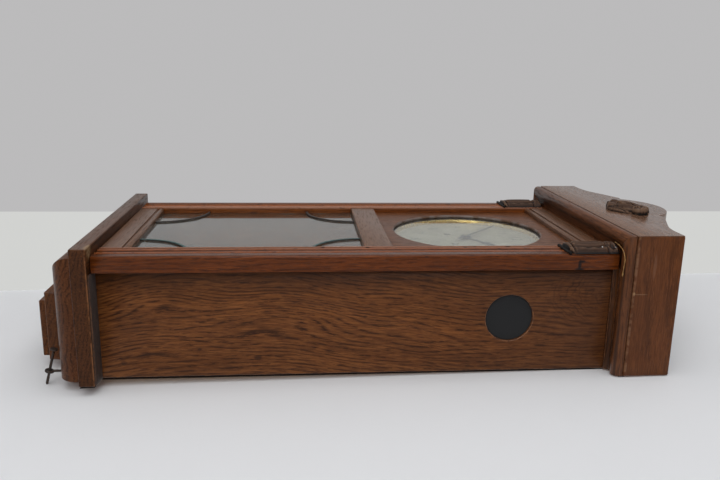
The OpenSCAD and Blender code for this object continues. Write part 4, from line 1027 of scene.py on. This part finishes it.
def ridge(s, turns, angle):
    """0 to 1 and back, once in each turn of a thread that winds along the line."""
    return abs(((s * turns - angle / (2 * pi)) % 1.0) * 2.0 - 1.0)


def rod_radius(s, angle):
    tip = 0.45 + 0.55 * min(1.0, (1.0 - s) / 0.04)
    return (0.00172 - 0.00042 * ridge(s, 34, angle)) * tip


for hand, side in SIDES:
    eye = Vector((hand * 0.13, -0.004, -0.6933))
    node = "stabiliser_screw_" + side
    line = [eye + rod_way * (-0.024 + 0.041 * k / 164) for k in range(165)]
    rod = swept("wall_rod_" + side, line, rod_radius, iron, 14)
    belongs(rod, node)
    line = [eye - rod_way * (0.0275 + 0.0018 * (k / 8 - 0.5)) for k in range(9)]
    grip = swept("wall_grip_" + side, line, lambda s, a: 0.0046 * (1.0 - 0.16 * abs(2 * s - 1) ** 3), iron, 30)
    goes_with(grip, node)
    line = [eye + (Vector((cos(a), 0, 0)) + ring_way * sin(a)) * 0.0038
            for a in (pi / 2 + 2 * pi * k / 40 for k in range(41))]
    ring = swept("wall_eye_" + side, line, 0.00155, iron, 14, cap=False)
    line = [Vector((eye.x, eye.y, eye.z + 0.0046 + 0.017 * k / 60)) for k in range(61)]
    shank = swept("eye_shank_" + side, line,
                  lambda s, a: 0.00155 - (0.00035 * ridge(s, 14, a) if s > 0.3 else 0), iron, 14)
    if hand > 0:
        belongs(ring, "stabiliser_eyes")
    else:
        goes_with(ring, "stabiliser_eyes")
    goes_with(shank, "stabiliser_eyes")
print("wall screws", len(rod.data.polygons), "faces each")

# %% [markdown]
# ## Small things that were added later
#
# A thread of old yellow glue has run out under the moulding, where the side
# length meets the front one, and two bright pins hold the carved bud. They are
# tiny, but they show that the case has been taken apart and put together again.

# %% Glue and pins
run = [(0.1377, -0.1564), (0.143, -0.1562), (0.1487, -0.1556), (0.1545, -0.1543), (0.1599, -0.1526),
       (0.1648, -0.1482), (0.1672, -0.143), (0.1668, -0.137), (0.1655, -0.129), (0.165, -0.1207)]
GLUE_Z = -0.0366
glue, tree, surface = blank("old_glue", Roughness=0.35, Specular_IOR_Level=0.4)
lumps = between(grainy(place(tree), 300.0, 3.0), 0.3, 0.7)
coat(surface, blend(lumps, (0.36, 0.2, 0.055), (0.22, 0.1, 0.03)))
line = [(x1 + (x2 - x1) * k / 4, y1 + (y2 - y1) * k / 4, GLUE_Z) for (x1, y1), (x2, y2) in zip(run, run[1:])
        for k in range(4)]
bead = swept("glue_run", line, lambda s, a: 0.00055 + 0.00025 * sin(s * 37.0) * sin(s * 11.0), glue, 10)
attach(bead, "case")

out = Vector((0.48, -0.88, 0.0)).normalized()
for number, foot in enumerate(((0.148, -0.1532, -0.056), (0.148, -0.1528, -0.0403)), 1):
    line = [Vector(foot) + out * (0.0007 * k / 6) for k in range(7)]
    pin = swept("capital_pin_" + str(number), line, lambda s, a: 0.00095 * sqrt(max(0.02, 1.0 - s * s)), steel,
                14)
    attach(pin, body_of["capitals"])
print("glue run", len(bead.data.polygons), "faces")

# %% [markdown]
# ## Hinges, movement and pendulum
#
# These are hidden in the closed case and show when the door is open. They are
# turned, filed and cut from brass and steel, so each keeps its construction
# shape with its edges broken by a file, and gets the metal that it is made of.

# %% Hardware and movement
metals = {
    "hanger_plate": (steel, 0.0002), "hanger_screws": (steel, 0.0001), "hinge_case_leaves": (brass, 0.0002),
    "hinge_door_leaves": (brass, 0.0002), "catch_clip": (brass, 0.0001), "catch_stud": (brass, 0.0002),
    "movement_brackets": (iron, 0.0004), "front_plate": (dull_brass, 0.0002),
    "back_plate": (dull_brass, 0.0002), "pillars": (dull_brass, 0.0001), "winding_arbor_time": (steel, 0.0002),
    "winding_arbor_strike": (steel, 0.0002), "pallet_anchor": (steel, 0.0001),
    "strike_hammer": (dull_brass, 0.0002), "rod_gong": (iron, 0.0004), "pendulum_cock": (dull_brass, 0.0002),
    "pendulum_bob": (brass, 0.0004), "rating_nut": (brass, 0.0003),
}
for node, (material, width) in metals.items():
    dressed(node, material, width)
finish("suspension_spring", steel)
wheels = ("centre_arbor", "hour_wheel", "minute_wheel", "time_barrel", "strike_barrel", "third_wheel",
          "escape_wheel", "pin_wheel")
for node in wheels:
    finish(node, dull_brass)
dressed("pendulum_rod", oak_stile, 0.0006)
missing = [n for n in frame["nodes"] if not frame["nodes"][n].data.materials]
print("metal pieces", len(metals) + 1 + len(wheels), "without a finish", missing)

# %% [markdown]
# ## Table, wall and light
#
# The clock lies on a pale table before a pale wall. Both are one-sided sheets:
# seen from behind they vanish, so that the clock can also be looked at from its
# back. For the same reason rays of less than 25 mm pass them, and the back board
# that lies on the table gets light. Three dark sheets lie under the clock, where
# the table is unlit. The room is brighter towards its ceiling, so the light
# comes mostly from above, the sides stay deep and the shadow is soft. Four
# narrow panes only show as bright spots in the polished brass and on the
# varnish. The wall shows its paint as bright as it is written, without throwing
# more light on the clock.

# %% Table and wall
def sheet_material(name, lower, upper, step, lit=False):
    """Paint that changes from lower to upper at the depth step; a lit one looks as bright as it is written."""
    material, tree, surface = blank(name, Roughness=0.65, Specular_IOR_Level=0.15)
    where = place(tree)
    paint = blend(between(ways(where)["Y"], step - 0.0006, step + 0.0006), upper, lower)
    mottle = between(grainy(where, 9.0, 3.0), 0.3, 0.7, 0.0, 0.06)
    paint = blend(mottle, paint, tuple(v * 0.8 for v in lower))
    coat(surface, paint)
    front = surface.outputs[0]
    ray = add(tree, "LightPath").outputs
    if lit:
        seen = sums("MAXIMUM", ray["Is Camera Ray"], ray["Is Glossy Ray"])
        seen = sums("MAXIMUM", seen, ray["Is Transmission Ray"])
        bright = add(tree, "Emission", {"Color": paint, "Strength": 1.0}).outputs[0]
        front = add(tree, "MixShader", {0: seen, 1: front, 2: bright}).outputs[0]
    close = between(ray["Ray Length"], 0.026, 0.024)
    behind = sums("MAXIMUM", add(tree, "NewGeometry").outputs["Backfacing"], close)
    clear = add(tree, "BsdfTransparent").outputs[0]
    either = add(tree, "MixShader", {0: behind, 1: front, 2: clear}).outputs[0]
    tree.links.new(either, tree.nodes["Material Output"].inputs["Surface"])
    return material


def flat_sheet(name, outward, corners, material):
    mesh = bpy.data.meshes.new(name)
    mesh.from_pydata(corners, [], [(0, 1, 2, 3)])
    sheet = new_piece(name, mesh, material, smooth=False)
    if mesh.polygons[0].normal.dot(Vector(outward)) < 0:
        mesh.flip_normals()


def table_depth(height):
    """The table's depth behind the clock's back, at a height on the clock."""
    return 0.0006 + (0.03 - height) * 0.0165


WALL_X, SPAN, SHADE_Y = -0.235, 4.0, 0.0012
near_end, far_end = table_depth(-SPAN), table_depth(SPAN)
flat_sheet("table", (0, -1, 0),
           [(WALL_X, near_end, -SPAN), (WALL_X, far_end, SPAN), (SPAN, far_end, SPAN), (SPAN, near_end, -SPAN)],
           sheet_material("table_top", (0.715, 0.715, 0.725), (0.715, 0.715, 0.725), -9.0))
shade = sheet_material("under_side", (0.02, 0.018, 0.017), (0.016, 0.015, 0.014), -0.3)
for number, (reach, start, end) in enumerate(((0.1442, -0.633, -0.03), (0.1664, -0.65, -0.6332),
                                              (0.1672, -0.029, -0.0215)), 1):
    flat_sheet("under_side_" + str(number), (0, -1, 0), [
        (-0.13, SHADE_Y, start), (-0.13, SHADE_Y, end), (reach, SHADE_Y, end),
        (reach, SHADE_Y - start * 0.0012, start)], shade)
flat_sheet("wall", (1, 0, 0),
           [(WALL_X, near_end, -SPAN), (WALL_X, -SPAN, -SPAN), (WALL_X, -SPAN, SPAN), (WALL_X, far_end, SPAN)],
           sheet_material("wall_paint", (0.645, 0.65, 0.635), (0.5, 0.495, 0.5), -0.116, lit=True))
print("table and wall stand ready")

# %% Lamps and the glow all round
def lamp(name, place_at, aim, size, watts, pane=None):
    light = bpy.data.lights.new(name, "AREA")
    light.shape = "RECTANGLE" if pane else "DISK"
    light.size = size
    if pane:
        light.size_y = pane
    light.energy = watts
    holder = stood(name, light)
    holder.location = place_at
    holder.rotation_euler = (Vector(aim) - Vector(place_at)).to_track_quat("-Z", "Y").to_euler()
    holder.visible_camera = False
    return holder


lamp("ceiling", (0.35, -2.2, -0.2), (0.0, 0.0, -0.33), 2.2, 24.0)
lamp("window", (1.9, -1.6, -0.9), (0.0, -0.05, -0.33), 1.4, 12.0)
PANE_RING, DIAL_CENTRE = 2.4, (-0.09, -0.128, -0.18)
for number, (turned_by, watts) in enumerate(((-42.0, 2.2), (-9.0, 2.2), (21.0, 1.2), (54.0, 3.0)), 1):
    swing = radians(turned_by)
    spot = (PANE_RING * cos(swing) + DIAL_CENTRE[0], -1.3, PANE_RING * sin(swing) + DIAL_CENTRE[2])
    shine = lamp("pane_" + str(number), spot, DIAL_CENTRE, 0.28, watts, 0.7)
    shine.visible_diffuse = False
    shine.visible_transmission = False
sky = bpy.data.worlds.new("studio")
sky.use_nodes = True
bpy.context.scene.world = sky
glow = sky.node_tree.nodes["Background"]
glow.inputs["Color"].default_value = (0.95, 0.975, 1.0, 1.0)
aloft = ways(add(sky.node_tree, "TexCoord").outputs["Generated"])["Y"]
strength = sums("MAXIMUM", between(aloft, 0.1, -0.9, 0.22, 0.78), between(aloft, 0.1, 0.55, 0.0, 0.75))
sky.node_tree.links.new(strength, glow.inputs["Strength"])
